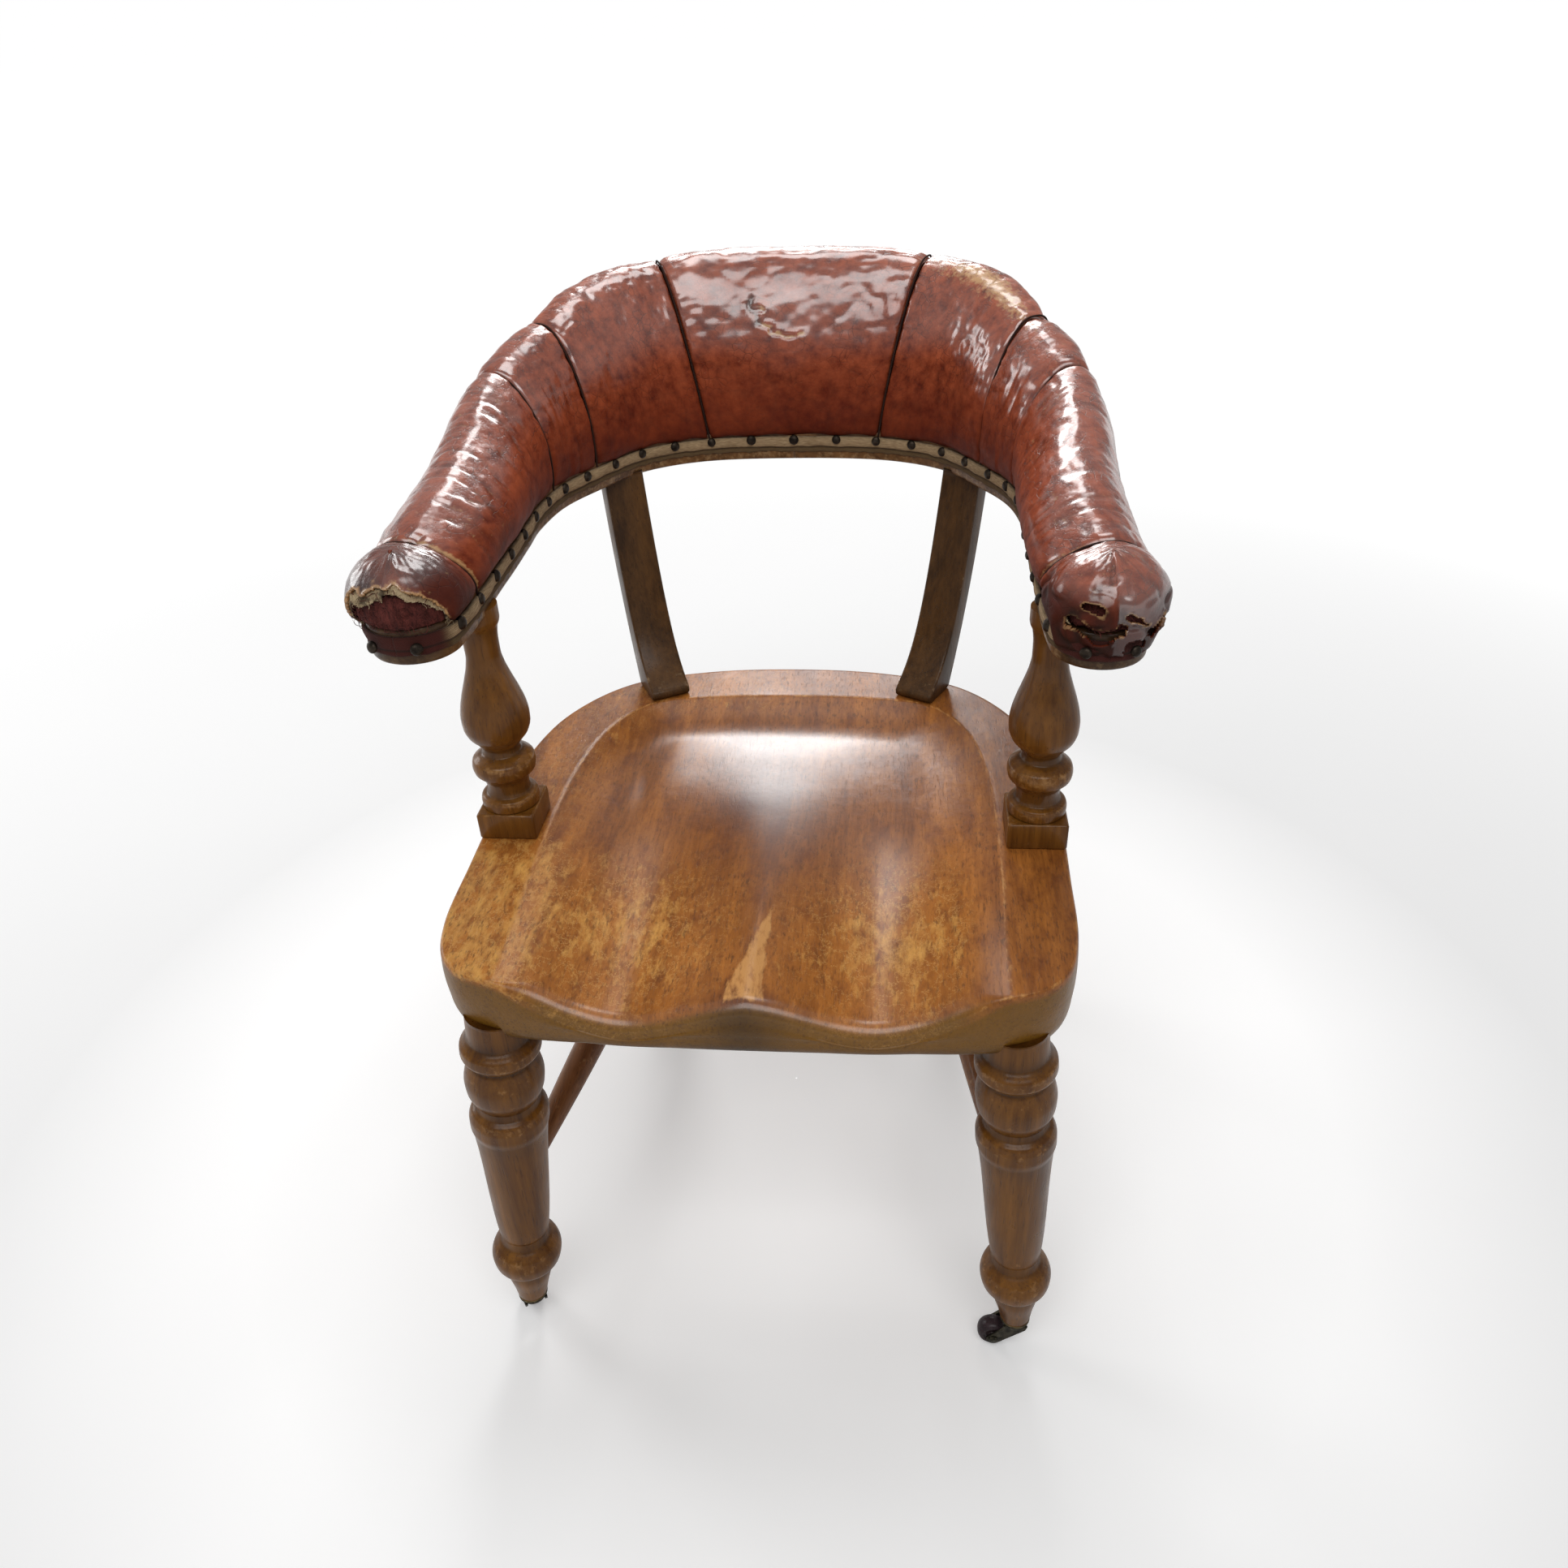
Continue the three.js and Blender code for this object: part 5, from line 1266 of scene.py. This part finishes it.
def hide_panel(panel, word=None, side=1):
    """One panel of the hide, in two skins; the caps go on round the tip and have their tears cut out."""
    first, last = PANEL_ENDS[panel], PANEL_ENDS[panel + 1]
    is_cap = PANELS[panel] == "cap"
    if panel == 0:
        runs, turns = stations(-last + PANEL_GAP, last - PANEL_GAP, 2.4)
    elif is_cap:
        runs, turns = stations(first + PANEL_GAP, last, 1.4, 44)
    else:
        runs, turns = stations(first + PANEL_GAP, last - PANEL_GAP, 2.4)
    runs = runs * side
    base, girth = roll_net(runs, turns, COLUMNS)
    out = facing(base) * side
    grid_run, grid_turn = over_net(runs, girth), over_net(turns, girth)
    swing = np.sign(grid_run) * grid_turn
    whole = girth[:, -1:]
    relief, marks = leather_relief(grid_run, grid_turn, girth, whole)
    outer = base + out * relief[..., None]
    inner = base + out * (np.minimum(relief, 0.3) - HIDE["under"])[..., None]
    low = np.minimum(girth, whole - girth)
    lift = (2.6 - 2.2 * pinch_at(grid_run + swing * TIP_SWING)) * fading(low, 5)
    over_tip = ease((grid_turn - 0.15) / 0.4) * fading(low, 9)
    if is_cap:
        hole = torn_open(side, grid_turn, girth, whole)
        over_tip *= ease(-hole / 14) if side < 0 else 1
    for skin in (outer, inner):
        skin += out * (HIDE["drape"] * over_tip)[..., None]
        skin[..., 2] += lift - HIDE["droop"] * over_tip
    keep = np.ones((len(runs) - 1, COLUMNS - 1), bool)
    if is_cap:
        outer, inner = closed_tip(outer), closed_tip(inner)
        hole = np.where(grid_turn > 0.25, hole, -9)
        keep = (hole[:-1, :-1] + hole[1:, 1:] + hole[1:, :-1] + hole[:-1, 1:]) / 4 < 0
        fray = fading(np.maximum(0, -hole), 2.6 if side < 0 else 1.1) * ease((low - 5) / 6)
        outer = outer + out * (1.8 * fray * (0.6 + 0.6 * lumps(outer, 6, 43)))[..., None]
        marks["rub"] = np.clip(marks["rub"] + (0.9 if side < 0 else 0.6) * fray, 0, 1)
    points, faces = shell(outer, inner, keep, is_cap)
    flat = np.stack([grid_run + swing * TIP_GIRTH, girth], -1).reshape(-1, 2)
    both = {name: np.concatenate([values.ravel(), values.ravel() * (name == "rub")])
            for name, values in marks.items()}
    node = f"{PANELS[panel]}_leather" + (f"_{word}" if word else "")
    piece = build(f"{node}_hide", points, faces, LEATHER, (node,), marks=both,
                  flat=np.vstack([flat, flat]))
    return piece


def torn_lining(word, side):
    """The pale cloth under a cap's hide, which shows as a ragged fringe inside the tear."""
    runs, turns = stations(SEAMS[-1] + 4, HALF_RUN, 1.2, 52)
    base, girth = roll_net(runs * side, turns, COLUMNS)
    out = facing(base) * side
    turn, whole = over_net(turns, girth), girth[:, -1:]
    deep = -6.5 - 4.5 * ease((girth / whole - 0.42) / 0.16)
    hole = torn_open(side, turn, girth, whole, deep if side < 0 else 1.6, 127)
    relief, _ = leather_relief(over_net(runs, girth) * side, turn, girth, whole)
    curl = 1.6 * fading(np.maximum(0, -hole), 3) * (0.4 + lumps(base, 5, 131)) + 1.7 * lumps(base, 4.5, 167)
    outer = base + out * (np.minimum(relief, 0.3) - 2.3 + curl)[..., None]
    inner = outer - out * 0.7
    outer, inner = closed_tip(outer), closed_tip(inner)
    near = torn_open(side, turn, girth, whole, 9.0 if side < 0 else 2.5)
    shows = (hole < 0) & (near > 0) & (turn > 0.1)
    keep = shows[:-1, :-1] & shows[1:, 1:] & shows[1:, :-1] & shows[:-1, 1:]
    points, faces = shell(outer, inner, keep, True)
    edge = fading(np.maximum(0, -hole), 2.0).ravel()
    darker = np.clip(2.2 * lumps(base, 6, 151) + 1.2 * lumps(base, 3, 157), 0, 1).ravel()
    marks = {"bare": np.concatenate([edge, 0 * edge]), "hollow": np.concatenate([darker, darker])}
    piece = build(f"torn_lining_{word}", points, faces, WADDING, marks=marks)
    return piece


hide_panel(0)
linings = {}
for word, side in SIDES.items():
    for panel in range(1, len(PANELS)):
        hide_panel(panel, word, side)
    linings[word] = torn_lining(word, side)


# Stuffing


def stuffing(name, node, runs, turns, side=1):
    """A body of hair that fills the hide and lies on the rail."""
    base, girth = roll_net(runs * side, turns, 91, PAD["leather"] + 1.4)
    out = facing(base) * side
    whole = girth[:, -1:]
    run, turn = over_net(runs, girth) * side, over_net(turns, girth)
    flat = np.stack([run + np.sign(run) * turn * TIP_GIRTH, girth], -1)
    fluff = 1.0 * lumps(flat, 7, 47) + 0.7 * lumps(flat, 3.2, 53) - 1.4
    relief, _ = leather_relief(run, turn, girth, whole)
    base = base + out * (fluff + np.minimum(relief, 0))[..., None]
    base[..., 2] = np.maximum(base[..., 2], RAIL_TOP + JOINT_GAP)
    ends_in_tip = turns[-1] > 0
    if ends_in_tip:
        base = closed_tip(base)
    rows, columns = base.shape[:2]
    faces = net(rows, columns)
    edge = np.arange(rows) * columns
    faces += np.stack([edge[:-1], edge[1:], edge[1:] + columns - 1, edge[:-1] + columns - 1], -1).tolist()
    faces.append(list(range(columns)))
    if not ends_in_tip:
        faces.append(list(range((rows - 1) * columns, rows * columns)))
    bare = torn_open(side, turn, girth, whole, 2.0) * (turn > 0.2)
    piece = build(name, base.reshape(-1, 3), faces, STUFFING, (node,),
                  marks={"bare": np.clip(bare / 4, 0, 1)})
    return piece


HAIR_SEAM = SEAMS[2]  # where the back's hair meets the arm's, with a narrow gap
stuffing("back_hair", "back_stuffing", *stations(-HAIR_SEAM + 0.2, HAIR_SEAM - 0.2, 5.0))
arm_hair = {}
for word, side in SIDES.items():
    runs, turns = stations(HAIR_SEAM + 0.3, HALF_RUN, 3.0, 30)
    arm_hair[word] = stuffing(f"arm_hair_{word}", f"arm_stuffing_{word}", runs, turns, side)


# Rail and border

RAIL_EDGE = 3.4
TAPE = dict(bottom=658.7, fold=663.5, top=674.7, stand=0.3, thickness=0.85, rows=17)


def arm_rail(word, side):
    runs, turns = stations(PANEL_GAP, HALF_RUN, 4.0, 26)
    runs = runs * side
    across, up, x, y = corner_ways(5)
    wide = half_width(runs)[:, None]
    offset = across * (wide - RAIL_EDGE) + x * RAIL_EDGE
    half = RAIL["thickness"] / 2
    z = RAIL_BOTTOM + half + up * (half - RAIL_EDGE) + y * RAIL_EDGE + 0 * wide
    rings = placed(over_net(runs, z), over_net(turns, z), offset, z, np.abs(offset))
    points, faces = tube_net(rings, last_cap=False)
    marks = {"proud": np.tile(np.where(up < 0, 0.5, 0.12), len(runs)),
             "hollow": np.repeat(0.75 * ease((turns - 0.2) / 0.5), len(up))}
    build(f"arm_rail_{word}_bend", points, faces, RAIL_WOOD, (f"arm_rail_{word}",), marks=marks)


def border_tape(face, word):
    """Pale cloth puffed out between the tacks, over a flat grimy lower edge, with painted shadow along the
    fold and painted shade under the hide's edge.
    """
    runs, turns = stations(0, HALF_RUN, 2.0, 36)
    runs = np.concatenate([-runs[:0:-1], runs])
    turns = np.concatenate([turns[:0:-1], turns])
    swing = runs + np.sign(runs) * turns * TIP_SWING
    share = np.linspace(0, 1, TAPE["rows"])
    bottom = (TAPE["bottom"] + 0.9 * lumps(along_line(swing), 7, 61))[:, None]
    fold = TAPE["fold"] + 0.8 * lumps(along_line(swing), 11, 137)[:, None]
    z = bottom + (TAPE["top"] - bottom) * share[None, :]
    place = np.stack([over_net(swing, z), z], -1)
    loose = (1 - pinch_at(swing))[:, None] ** 0.4
    upper = ease((z - fold) / 1.6)
    at_tip = ease((turns[:, None] - 0.3) / 0.4)
    swell = np.sin(math.pi * np.clip((z - fold) / 13, 0, 1))
    puff = upper * (1.0 + 2.2 * loose * swell) + 0.3 * lumps(place, 9, 67)
    puff += 0.8 * bell(z - bottom - 1.6, 1.2)
    inner = over_net(half_width(runs) + TAPE["stand"], z)
    outer = inner + TAPE["thickness"] + puff * (1 - 0.6 * at_tip)
    front, back = (placed(over_net(runs, z), over_net(turns, z), face * skin, z, skin)
                   for skin in (outer, inner))
    points, faces = shell(front, back, np.ones((len(runs) - 1, TAPE["rows"] - 1), bool))
    stain = 0.85 * (1 - upper) + 0.3 * upper * ease(lumps(place, 17, 71)) + at_tip
    # Painted shadow along the fold and painted shade along the top, under the hide's edge; a little darker at
    # the tacks and round the tip.
    darker = 0.9 * bell(z - fold, 0.8)
    darker = darker + 0.5 * fading(TAPE["top"] - z, 1.2) + 0.1 * (1 - loose) + 0.3 * at_tip
    marks = {"hollow": darker, "stain": stain, "dark_tip": at_tip + 0 * z}
    marks = {name: np.tile(np.clip(values, 0, 1).ravel(), 2) for name, values in marks.items()}
    build(f"border_tape_{word}_hessian", points, faces, HESSIAN, (f"border_tape_{word}",),
          marks=marks, flat=np.tile(place.reshape(-1, 2), (2, 1)))


for word, side in SIDES.items():
    arm_rail(word, side)
border_tape(-1, "inner")
border_tape(1, "outer")


# What repeats: tacks, seam cords and loose hair


def tree_of(name, takes):
    """A geometry tree that takes a mesh and the named values, and gives a mesh."""
    takes = [("Geometry", "Geometry", None), *takes, ("Finish", "Material", None)]
    return new_group(name, takes, [("Geometry", "Geometry")], "GeometryNodeTree")


def close_tree(tree, geometry, finish, gives):
    real = step(tree, "GeometryNodeRealizeInstances", Geometry=geometry)
    smooth = step(tree, "GeometryNodeSetShadeSmooth", Geometry=real.outputs["Geometry"])
    dressed = step(tree, "GeometryNodeSetMaterial", Geometry=smooth.outputs["Geometry"], Material=finish)
    plug_in(tree, gives["Geometry"], dressed.outputs["Geometry"])
    return tree


def grown(name, mesh, tree, slot, **values):
    """A piece that a tree grows on a mesh, made plain."""
    piece = shown(name, mesh)
    grow = piece.modifiers.new(tree.name, "NODES")
    grow.node_group = tree
    for socket in tree.interface.items_tree:
        if socket.in_out == "INPUT" and socket.name.replace(" ", "_") in values:
            grow[socket.identifier] = values[socket.name.replace(" ", "_")]
    return finished(plain_mesh(piece))


def random_ways(tree, seed, low, high):
    """Random turns between two sets of angles."""
    made = step(tree, "FunctionNodeRandomValue", {"data_type": "FLOAT_VECTOR"}, Seed=seed)
    plug_all(tree, made, {0: low, 1: high})
    return step(tree, "FunctionNodeEulerToRotation", Euler=made.outputs[0]).outputs[0]


def scattered(tree, points, shape, seed, first_way, turned, smallest, largest):
    """A shape on every point, turned from its own way and of a random size."""
    tipped = step(tree, "FunctionNodeRotateRotation", {"rotation_space": "LOCAL"})
    plug_all(tree, tipped, {0: first_way, 1: turned})
    size = step(tree, "FunctionNodeRandomValue", Seed=seed)
    plug_all(tree, size, {2: smallest, 3: largest})
    made = step(tree, "GeometryNodeInstanceOnPoints", Points=points, Instance=shape,
                Rotation=tipped.outputs[0], Scale=size.outputs[1])
    return made.outputs[0]


def tack_tree():
    """Domed heads on points, facing each point's own way, no two quite alike."""
    tree, takes, gives = tree_of("tack row", [
        ("Head radius", "Float", 0.0049), ("Head height", "Float", 0.003), ("Tilt", "Float", 0.16),
        ("Seed", "Int", 5)])
    radius, seed = takes["Head radius"], takes["Seed"]
    ball = step(tree, "GeometryNodeMeshUVSphere", Segments=16, Rings=9, Radius=1.0)
    size = add(tree, "CombineXYZ", X=radius, Y=radius, Z=takes["Head height"])
    head = step(tree, "GeometryNodeTransform", Geometry=ball.outputs["Mesh"], Scale=size.outputs[0])
    way = step(tree, "GeometryNodeInputNamedAttribute", {"data_type": "FLOAT_VECTOR"}, Name="facing")
    aligned = step(tree, "FunctionNodeAlignRotationToVector", {"axis": "Z"}, Vector=way.outputs["Attribute"])
    tilted = random_ways(tree, seed, times(tree, takes["Tilt"], -1), takes["Tilt"])
    heads = scattered(tree, takes["Geometry"], head.outputs[0], seed, aligned.outputs[0], tilted, 0.88, 1.1)
    return close_tree(tree, heads, takes["Finish"], gives)


def wisp_tree():
    """Curled loose strands standing out of a mesh, thick where its bare mark is strong."""
    tree, takes, gives = tree_of("loose hair", [
        ("Number", "Float", 60000.0), ("Curl radius", "Float", 0.0035), ("Curl height", "Float", 0.004),
        ("Strand radius", "Float", 0.00022), ("Seed", "Int", 3)])
    radius, seed = takes["Curl radius"], takes["Seed"]
    bare = step(tree, "GeometryNodeInputNamedAttribute", {"data_type": "FLOAT"}, Name="bare")
    thick = times(tree, bare.outputs["Attribute"], takes["Number"])
    roots = step(tree, "GeometryNodeDistributePointsOnFaces", Mesh=takes["Geometry"], Density=thick,
                 Seed=seed)
    curl = step(tree, "GeometryNodeCurveSpiral", Resolution=9, Rotations=0.7, Start_Radius=radius,
                End_Radius=radius, Height=takes["Curl height"])
    section = step(tree, "GeometryNodeCurvePrimitiveCircle", Resolution=3, Radius=takes["Strand radius"])
    strand = step(tree, "GeometryNodeCurveToMesh", Curve=curl.outputs[0], Profile_Curve=section.outputs[0],
                  Fill_Caps=True)
    swayed = random_ways(tree, seed, (-1.3, -1.3, -3.1), (1.3, 1.3, 3.1))
    strands = scattered(tree, roots.outputs["Points"], strand.outputs[0], seed, roots.outputs["Rotation"],
                        swayed, 0.5, 1.3)
    return close_tree(tree, strands, takes["Finish"], gives)


def cord_tree():
    """A cord drawn along the edges of a mesh."""
    tree, takes, gives = tree_of("seam cord", [("Cord radius", "Float", 0.0009)])
    line = step(tree, "GeometryNodeMeshToCurve", Mesh=takes["Geometry"])
    section = step(tree, "GeometryNodeCurvePrimitiveCircle", Resolution=8, Radius=takes["Cord radius"])
    cord = step(tree, "GeometryNodeCurveToMesh", Curve=line.outputs[0], Profile_Curve=section.outputs[0],
                Fill_Caps=True)
    return close_tree(tree, cord.outputs[0], takes["Finish"], gives)


def points_mesh(name, points, edges=(), ways=None):
    mesh = bpy.data.meshes.new(name)
    mesh.from_pydata(in_frame(points), list(edges), [])
    if ways is not None:
        layer = mesh.attributes.new("facing", "FLOAT_VECTOR", "POINT")
        layer.data.foreach_set("vector", np.asarray(ways, np.float32).ravel())
    return mesh


TACKS = tack_tree()
WISPS = wisp_tree()
CORDS = cord_tree()


TACK_LINE = dict(z=671.2, stand=2.8, tip_stand=3.0, tip_drop=5, last_back=230, past_tip=58)


def tack_row(word, face, swings):
    """Tacks at distances along the rail, the turn of the tip counted at the tape's own face."""
    runs = np.sign(swings) * np.minimum(np.abs(swings), HALF_RUN)
    turns = np.maximum(0, np.abs(swings) - HALF_RUN) / TIP_SWING
    at_tip = ease((turns - 0.3) / 0.4)
    stand = half_width(runs) + TACK_LINE["stand"] + TACK_LINE["tip_stand"] * at_tip
    z = TACK_LINE["z"] - TACK_LINE["tip_drop"] * at_tip + 0.7 * lumps(along_line(swings), 13, 73)
    points = placed(runs, turns, face * stand, z, stand)
    ways = placed(runs, turns, face * (stand + 1), z, stand + 1) - points
    ways[:, 2] = 0.12
    places = points_mesh("tack places", points, ways=ways)
    grown(f"tacks_{word}", places, TACKS, "castor_metal", Finish=TACK_IRON)


back_swings = np.arange(-TACK_LINE["last_back"], TACK_LINE["last_back"] + 1, TACK_PITCH["back"])
arm_swings = np.arange(FIRST_ARM_TACK, HALF_RUN + TACK_LINE["past_tip"], TACK_PITCH["arm"])
swings = np.concatenate([-arm_swings[::-1], back_swings, arm_swings])
tack_row("inner", -1, swings)
tack_row("outer", 1, swings)


def seam_cord(word, seam, side):
    """A dark cord sunk in the groove between two panels."""
    nets = [roll_net(np.array([side * seam + shift]), np.zeros(1), 90) for shift in (-1.0, 0, 1.0)]
    points, girth = nets[1]
    out = facing(np.concatenate([line for line, _ in nets]))[1]
    rise = ease((girth[0] / girth[0, -1] - 0.2) / 0.3)
    line = points[0] - out * (2.7 - 0.8 * rise)[:, None]
    edges = [(i, i + 1) for i in range(len(line) - 1)]
    grown(f"seam_cord_{word}", points_mesh("seam line", line, edges), CORDS, "leather", Finish=WAXED_CORD)


for word, side in SIDES.items():
    for panel, seam in zip(PANELS[1:], SEAMS):
        seam_cord(f"{panel}_{word}", seam, side)

for word in SIDES:
    grown(f"loose_hair_{word}", arm_hair[word].data.copy(), WISPS, "stuffing", Finish=STUFFING)
grown("fringe_left", linings["left"].data.copy(), WISPS, "stuffing", Finish=WADDING, Number=160000.0,
      Curl_radius=0.0018, Curl_height=0.003, Seed=9)


# Castors

CASTOR = dict(height=39, wheel_radius=14, wheel_width=15, trail=19, plate_radius=13.5, plate=2.5, pin=3.2,
              boss=6, cheek=2.6, cheek_radius=6.5, cheek_bevel=0.5, axle=2.4, head=4.2, head_height=1.4,
              gap=0.6)
CASTOR_ANGLES = {"front_left": -60, "front_right": 0, "rear_left": -30, "rear_right": -150}
CASTOR_SIDES = 40


def lathe(profile, axis="Z", sides=CASTOR_SIDES):
    radii, heights = np.array(profile, float).T
    rings = turn_rings(radii, heights, sides)
    return rings[..., [0, 2, 1]] if axis == "Y" else rings


def cheek_outline(low, top):
    """A cheek of the horn from the side: wide at the boss, round at the axle."""
    trail, radius, wheel, wide = (
        CASTOR[name] for name in ("trail", "cheek_radius", "wheel_radius", "plate_radius"))
    angle = np.linspace(-0.25 * math.pi, -1.0 * math.pi, 16)
    arc = np.stack([np.cos(angle), np.sin(angle)], -1) * radius + (-trail, wheel)
    head = [(wide * 0.8, top - 1.5), (wide * 0.7, low), (-trail + radius * 0.8, wheel - radius * 0.6)]
    return np.vstack([head, arc, [(-wide * 0.8, low), (-wide * 0.8, top - 1.5)]])


def cheek(way, side_view):
    """One cheek as a plate with bevelled edges."""
    thick, bevel = CASTOR["cheek"], CASTOR["cheek_bevel"]
    start = CASTOR["wheel_width"] / 2 + CASTOR["gap"]
    middle = side_view.mean(0)
    rings = []
    for depth, inset in ((0, bevel), (bevel, 0), (thick - bevel, 0), (thick, bevel)):
        x, z = (middle + (side_view - middle) * (1 - inset / 14)).T
        rings.append(np.column_stack([x, np.full(len(x), way * (start + depth)), z]))
    points, faces = tube_net(np.stack(rings))
    return points, faces if way > 0 else [face[::-1] for face in faces]


def castor(corner, x, y):
    """A brass plate and pin in the leg, an iron horn that swivels on it, and a wheel on a riveted axle."""
    size, fork = CASTOR, f"castor_fork_{corner}"
    top = size["height"] - size["plate"] - JOINT_GAP
    low = top - size["boss"]
    r, pin, half, tyre = size["plate_radius"], size["pin"], size["wheel_width"] / 2, size["wheel_radius"]
    hub = np.array([-size["trail"], 0, tyre])

    def fit(kind, form, solid, look, body, proud, hollow):
        points, faces = solid
        node = f"castor_{kind}_{corner}"
        points = swung(points, (x, y, 0), 0 if body == CHAIR else CASTOR_ANGLES[corner])
        marks = {"proud": np.full(len(points), proud), "hollow": np.zeros(len(points)) + hollow}
        build(f"{node}_{form}", points, faces, look, (node,), body, marks, sharp=35)

    plate = [(0.3, top - 8.5), (4.6, top - 8.5), (5.4, top - 7.6), (5.4, top - 6.6), (pin, top - 6.6),
             (pin, top + 0.3), (r - 0.5, top + 0.3), (r, top + 0.7), (r, top + 2.3), (r - 0.5, top + 2.8),
             (3.5, top + 2.8), (3.5, top + 16), (0.3, top + 29)]
    fit("plate", "disc", tube_net(lathe(plate)), PLATE_BRASS, CHAIR, 0.15, 0.0)
    boss = [(3.5, low), (r * 0.82 - 0.6, low), (r * 0.82, low + 0.6), (r * 0.93, top - 1.2), (r, top - 0.5),
            (r - 0.4, top), (3.5, top)]
    side_view = cheek_outline(low, top)
    horn = joined([hoop_net(lathe(boss)), cheek(-1, side_view), cheek(1, side_view)])
    fit("horn", "fork", horn, CASTOR_IRON, fork, 0.1, 0.1)
    tread = [(2.7, -half), (4.6, -half), (5.0, -half + 0.7), (8.0, -half + 0.7), (8.6, -half)]
    tread += [(tyre * (0.72 + 0.28 * math.sin(t)), -half * math.cos(t)) for t in np.linspace(0, math.pi, 15)]
    tread += [(8.6, half), (8.0, half - 0.7), (5.0, half - 0.7), (4.6, half), (2.7, half)]
    points, faces = hoop_net(lathe(tread, "Y"))
    darker = np.repeat([0.7 if radius < 8.7 else 0.0 for radius, _ in tread], CASTOR_SIDES)
    fit("wheel", "tread", (points + hub, faces), WHEEL_WOOD, f"castor_roller_{corner}", 0.25, darker)
    shaft = half + size["gap"] + size["cheek"] + 0.3
    end = shaft + size["head_height"]
    head = [(0.2, end), (size["head"] - 1.2, end), (size["head"], end - 0.8), (size["head"], shaft),
            (size["axle"], shaft)]
    axle = [(radius, -across) for radius, across in head] + head[::-1]
    points, faces = tube_net(lathe(axle, "Y", 24))
    fit("axle", "rivet", (points + hub, faces), CASTOR_IRON, fork, 0.15, 0.0)


for word, side in SIDES.items():
    for corner, leg in LEGS.items():
        castor(f"{corner}_{word}", side * leg["foot"][0], leg["foot"][1])

crest_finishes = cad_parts["crest_rail"].data.materials
crest_finishes.clear()
crest_finishes.append(RAIL_WOOD)


# Studio


PAPER_RINGS = [(0.001, 0.0), (28.0, 0.0), (29.2, 0.3), (29.8, 1.0), (30.0, 3.2)]  # metres out and up
PAPER_SIDES = 96
LAMPS = (
    ("front ceiling panel", (0.1, -1.6, 2.5), (0, 0.2, 0.75), 2.4, 1.2, 29),
    ("ceiling panel", (0.1, 0.5, 2.5), (0, 0, 0.5), 1.0, 0.7, 11),
    ("rear ceiling light", (-0.25, 1.7, 2.5), (0, 0, 0.45), 0.6, 0.5, 6),
    ("rear wall", (-0.05, 2.3, 1.75), (0, 0, 0.5), 0.9, 0.4, 13),
    ("rear window", (-0.4, 2.1, 2.0), (0, 0, 0.45), 0.65, 0.4, 8),
    ("side window", (-2.3, 0.9, 1.3), (0, 0, 0.6), 0.9, 0.9, 13),
)


def seen_rays(tree):
    """1 for what the camera sees, also through clear pieces; and 1 for what is mirrored."""
    path = add(tree, "LightPath").outputs
    return sum_up(tree, "MAXIMUM", path["Is Camera Ray"], path["Is Transmission Ray"]), path["Is Glossy Ray"]


def paper_floor():
    """A round white paper that rises far off, shaded under the chair and plain white further out."""
    look, tree, shader = new_look("floor paper", Roughness=0.9, Specular_IOR_Level=0.1,
                                  Emission_Color=(1, 1, 1))
    place = object_place(tree)
    far = add(tree, "VectorMath", {"operation": "LENGTH"})
    plug_all(tree, far, {0: place})
    seen, mirrored = seen_rays(tree)
    away = times(tree, ranged(tree, far.outputs["Value"], 0.6, 2.0), seen)
    mirrored = times(tree, ranged(tree, far.outputs["Value"], 1.0, 4.0), mirrored)
    away = sum_up(tree, "MAXIMUM", away, mirrored)
    pale = mix(tree, noise(tree, place, 3.0, 2.0), (0.9, 0.9, 0.9), (0.93, 0.93, 0.93))
    plug_all(tree, shader, {
        "Emission Strength": sum_up(tree, "MAXIMUM", away, times(tree, seen, 0.2)),
        "Base Color": mix(tree, away, pale, (0, 0, 0)),
    })
    return look


def studio():
    """A round white paper floor that rises far off, under a plain white sky and bright panels and windows."""
    reach, rise = np.array(PAPER_RINGS).T
    mesh = bpy.data.meshes.new("studio floor")
    mesh.from_pydata(turn_rings(reach, rise, PAPER_SIDES).reshape(-1, 3).tolist(), [],
                     [face[::-1] for face in net(len(PAPER_RINGS), PAPER_SIDES, around=True)])
    mesh.materials.append(paper_floor())
    shown("studio floor", mesh)
    world = bpy.data.worlds.new("studio")
    bpy.context.scene.world = world
    world.use_nodes = True
    tree = world.node_tree
    seen, mirrored = seen_rays(tree)
    seen = sum_up(tree, "MAXIMUM", seen, times(tree, mirrored, 0.2))
    brightness = ranged(tree, seen, 0.0, 1.0, 0.25, 1.0)
    plug_all(tree, tree.nodes["Background"], {"Color": (1, 1, 1), "Strength": brightness})
    for name, place, aim, wide, long, power in LAMPS:
        light = bpy.data.lights.new(name, "AREA")
        light.shape = "RECTANGLE"
        light.size, light.size_y, light.energy = wide, long, power
        lamp = shown(name, light)
        lamp.location = place
        lamp.rotation_euler = (Vector(aim) - Vector(place)).to_track_quat("-Z", "Y").to_euler()
    bpy.context.scene.view_settings.view_transform = "Standard"


studio()
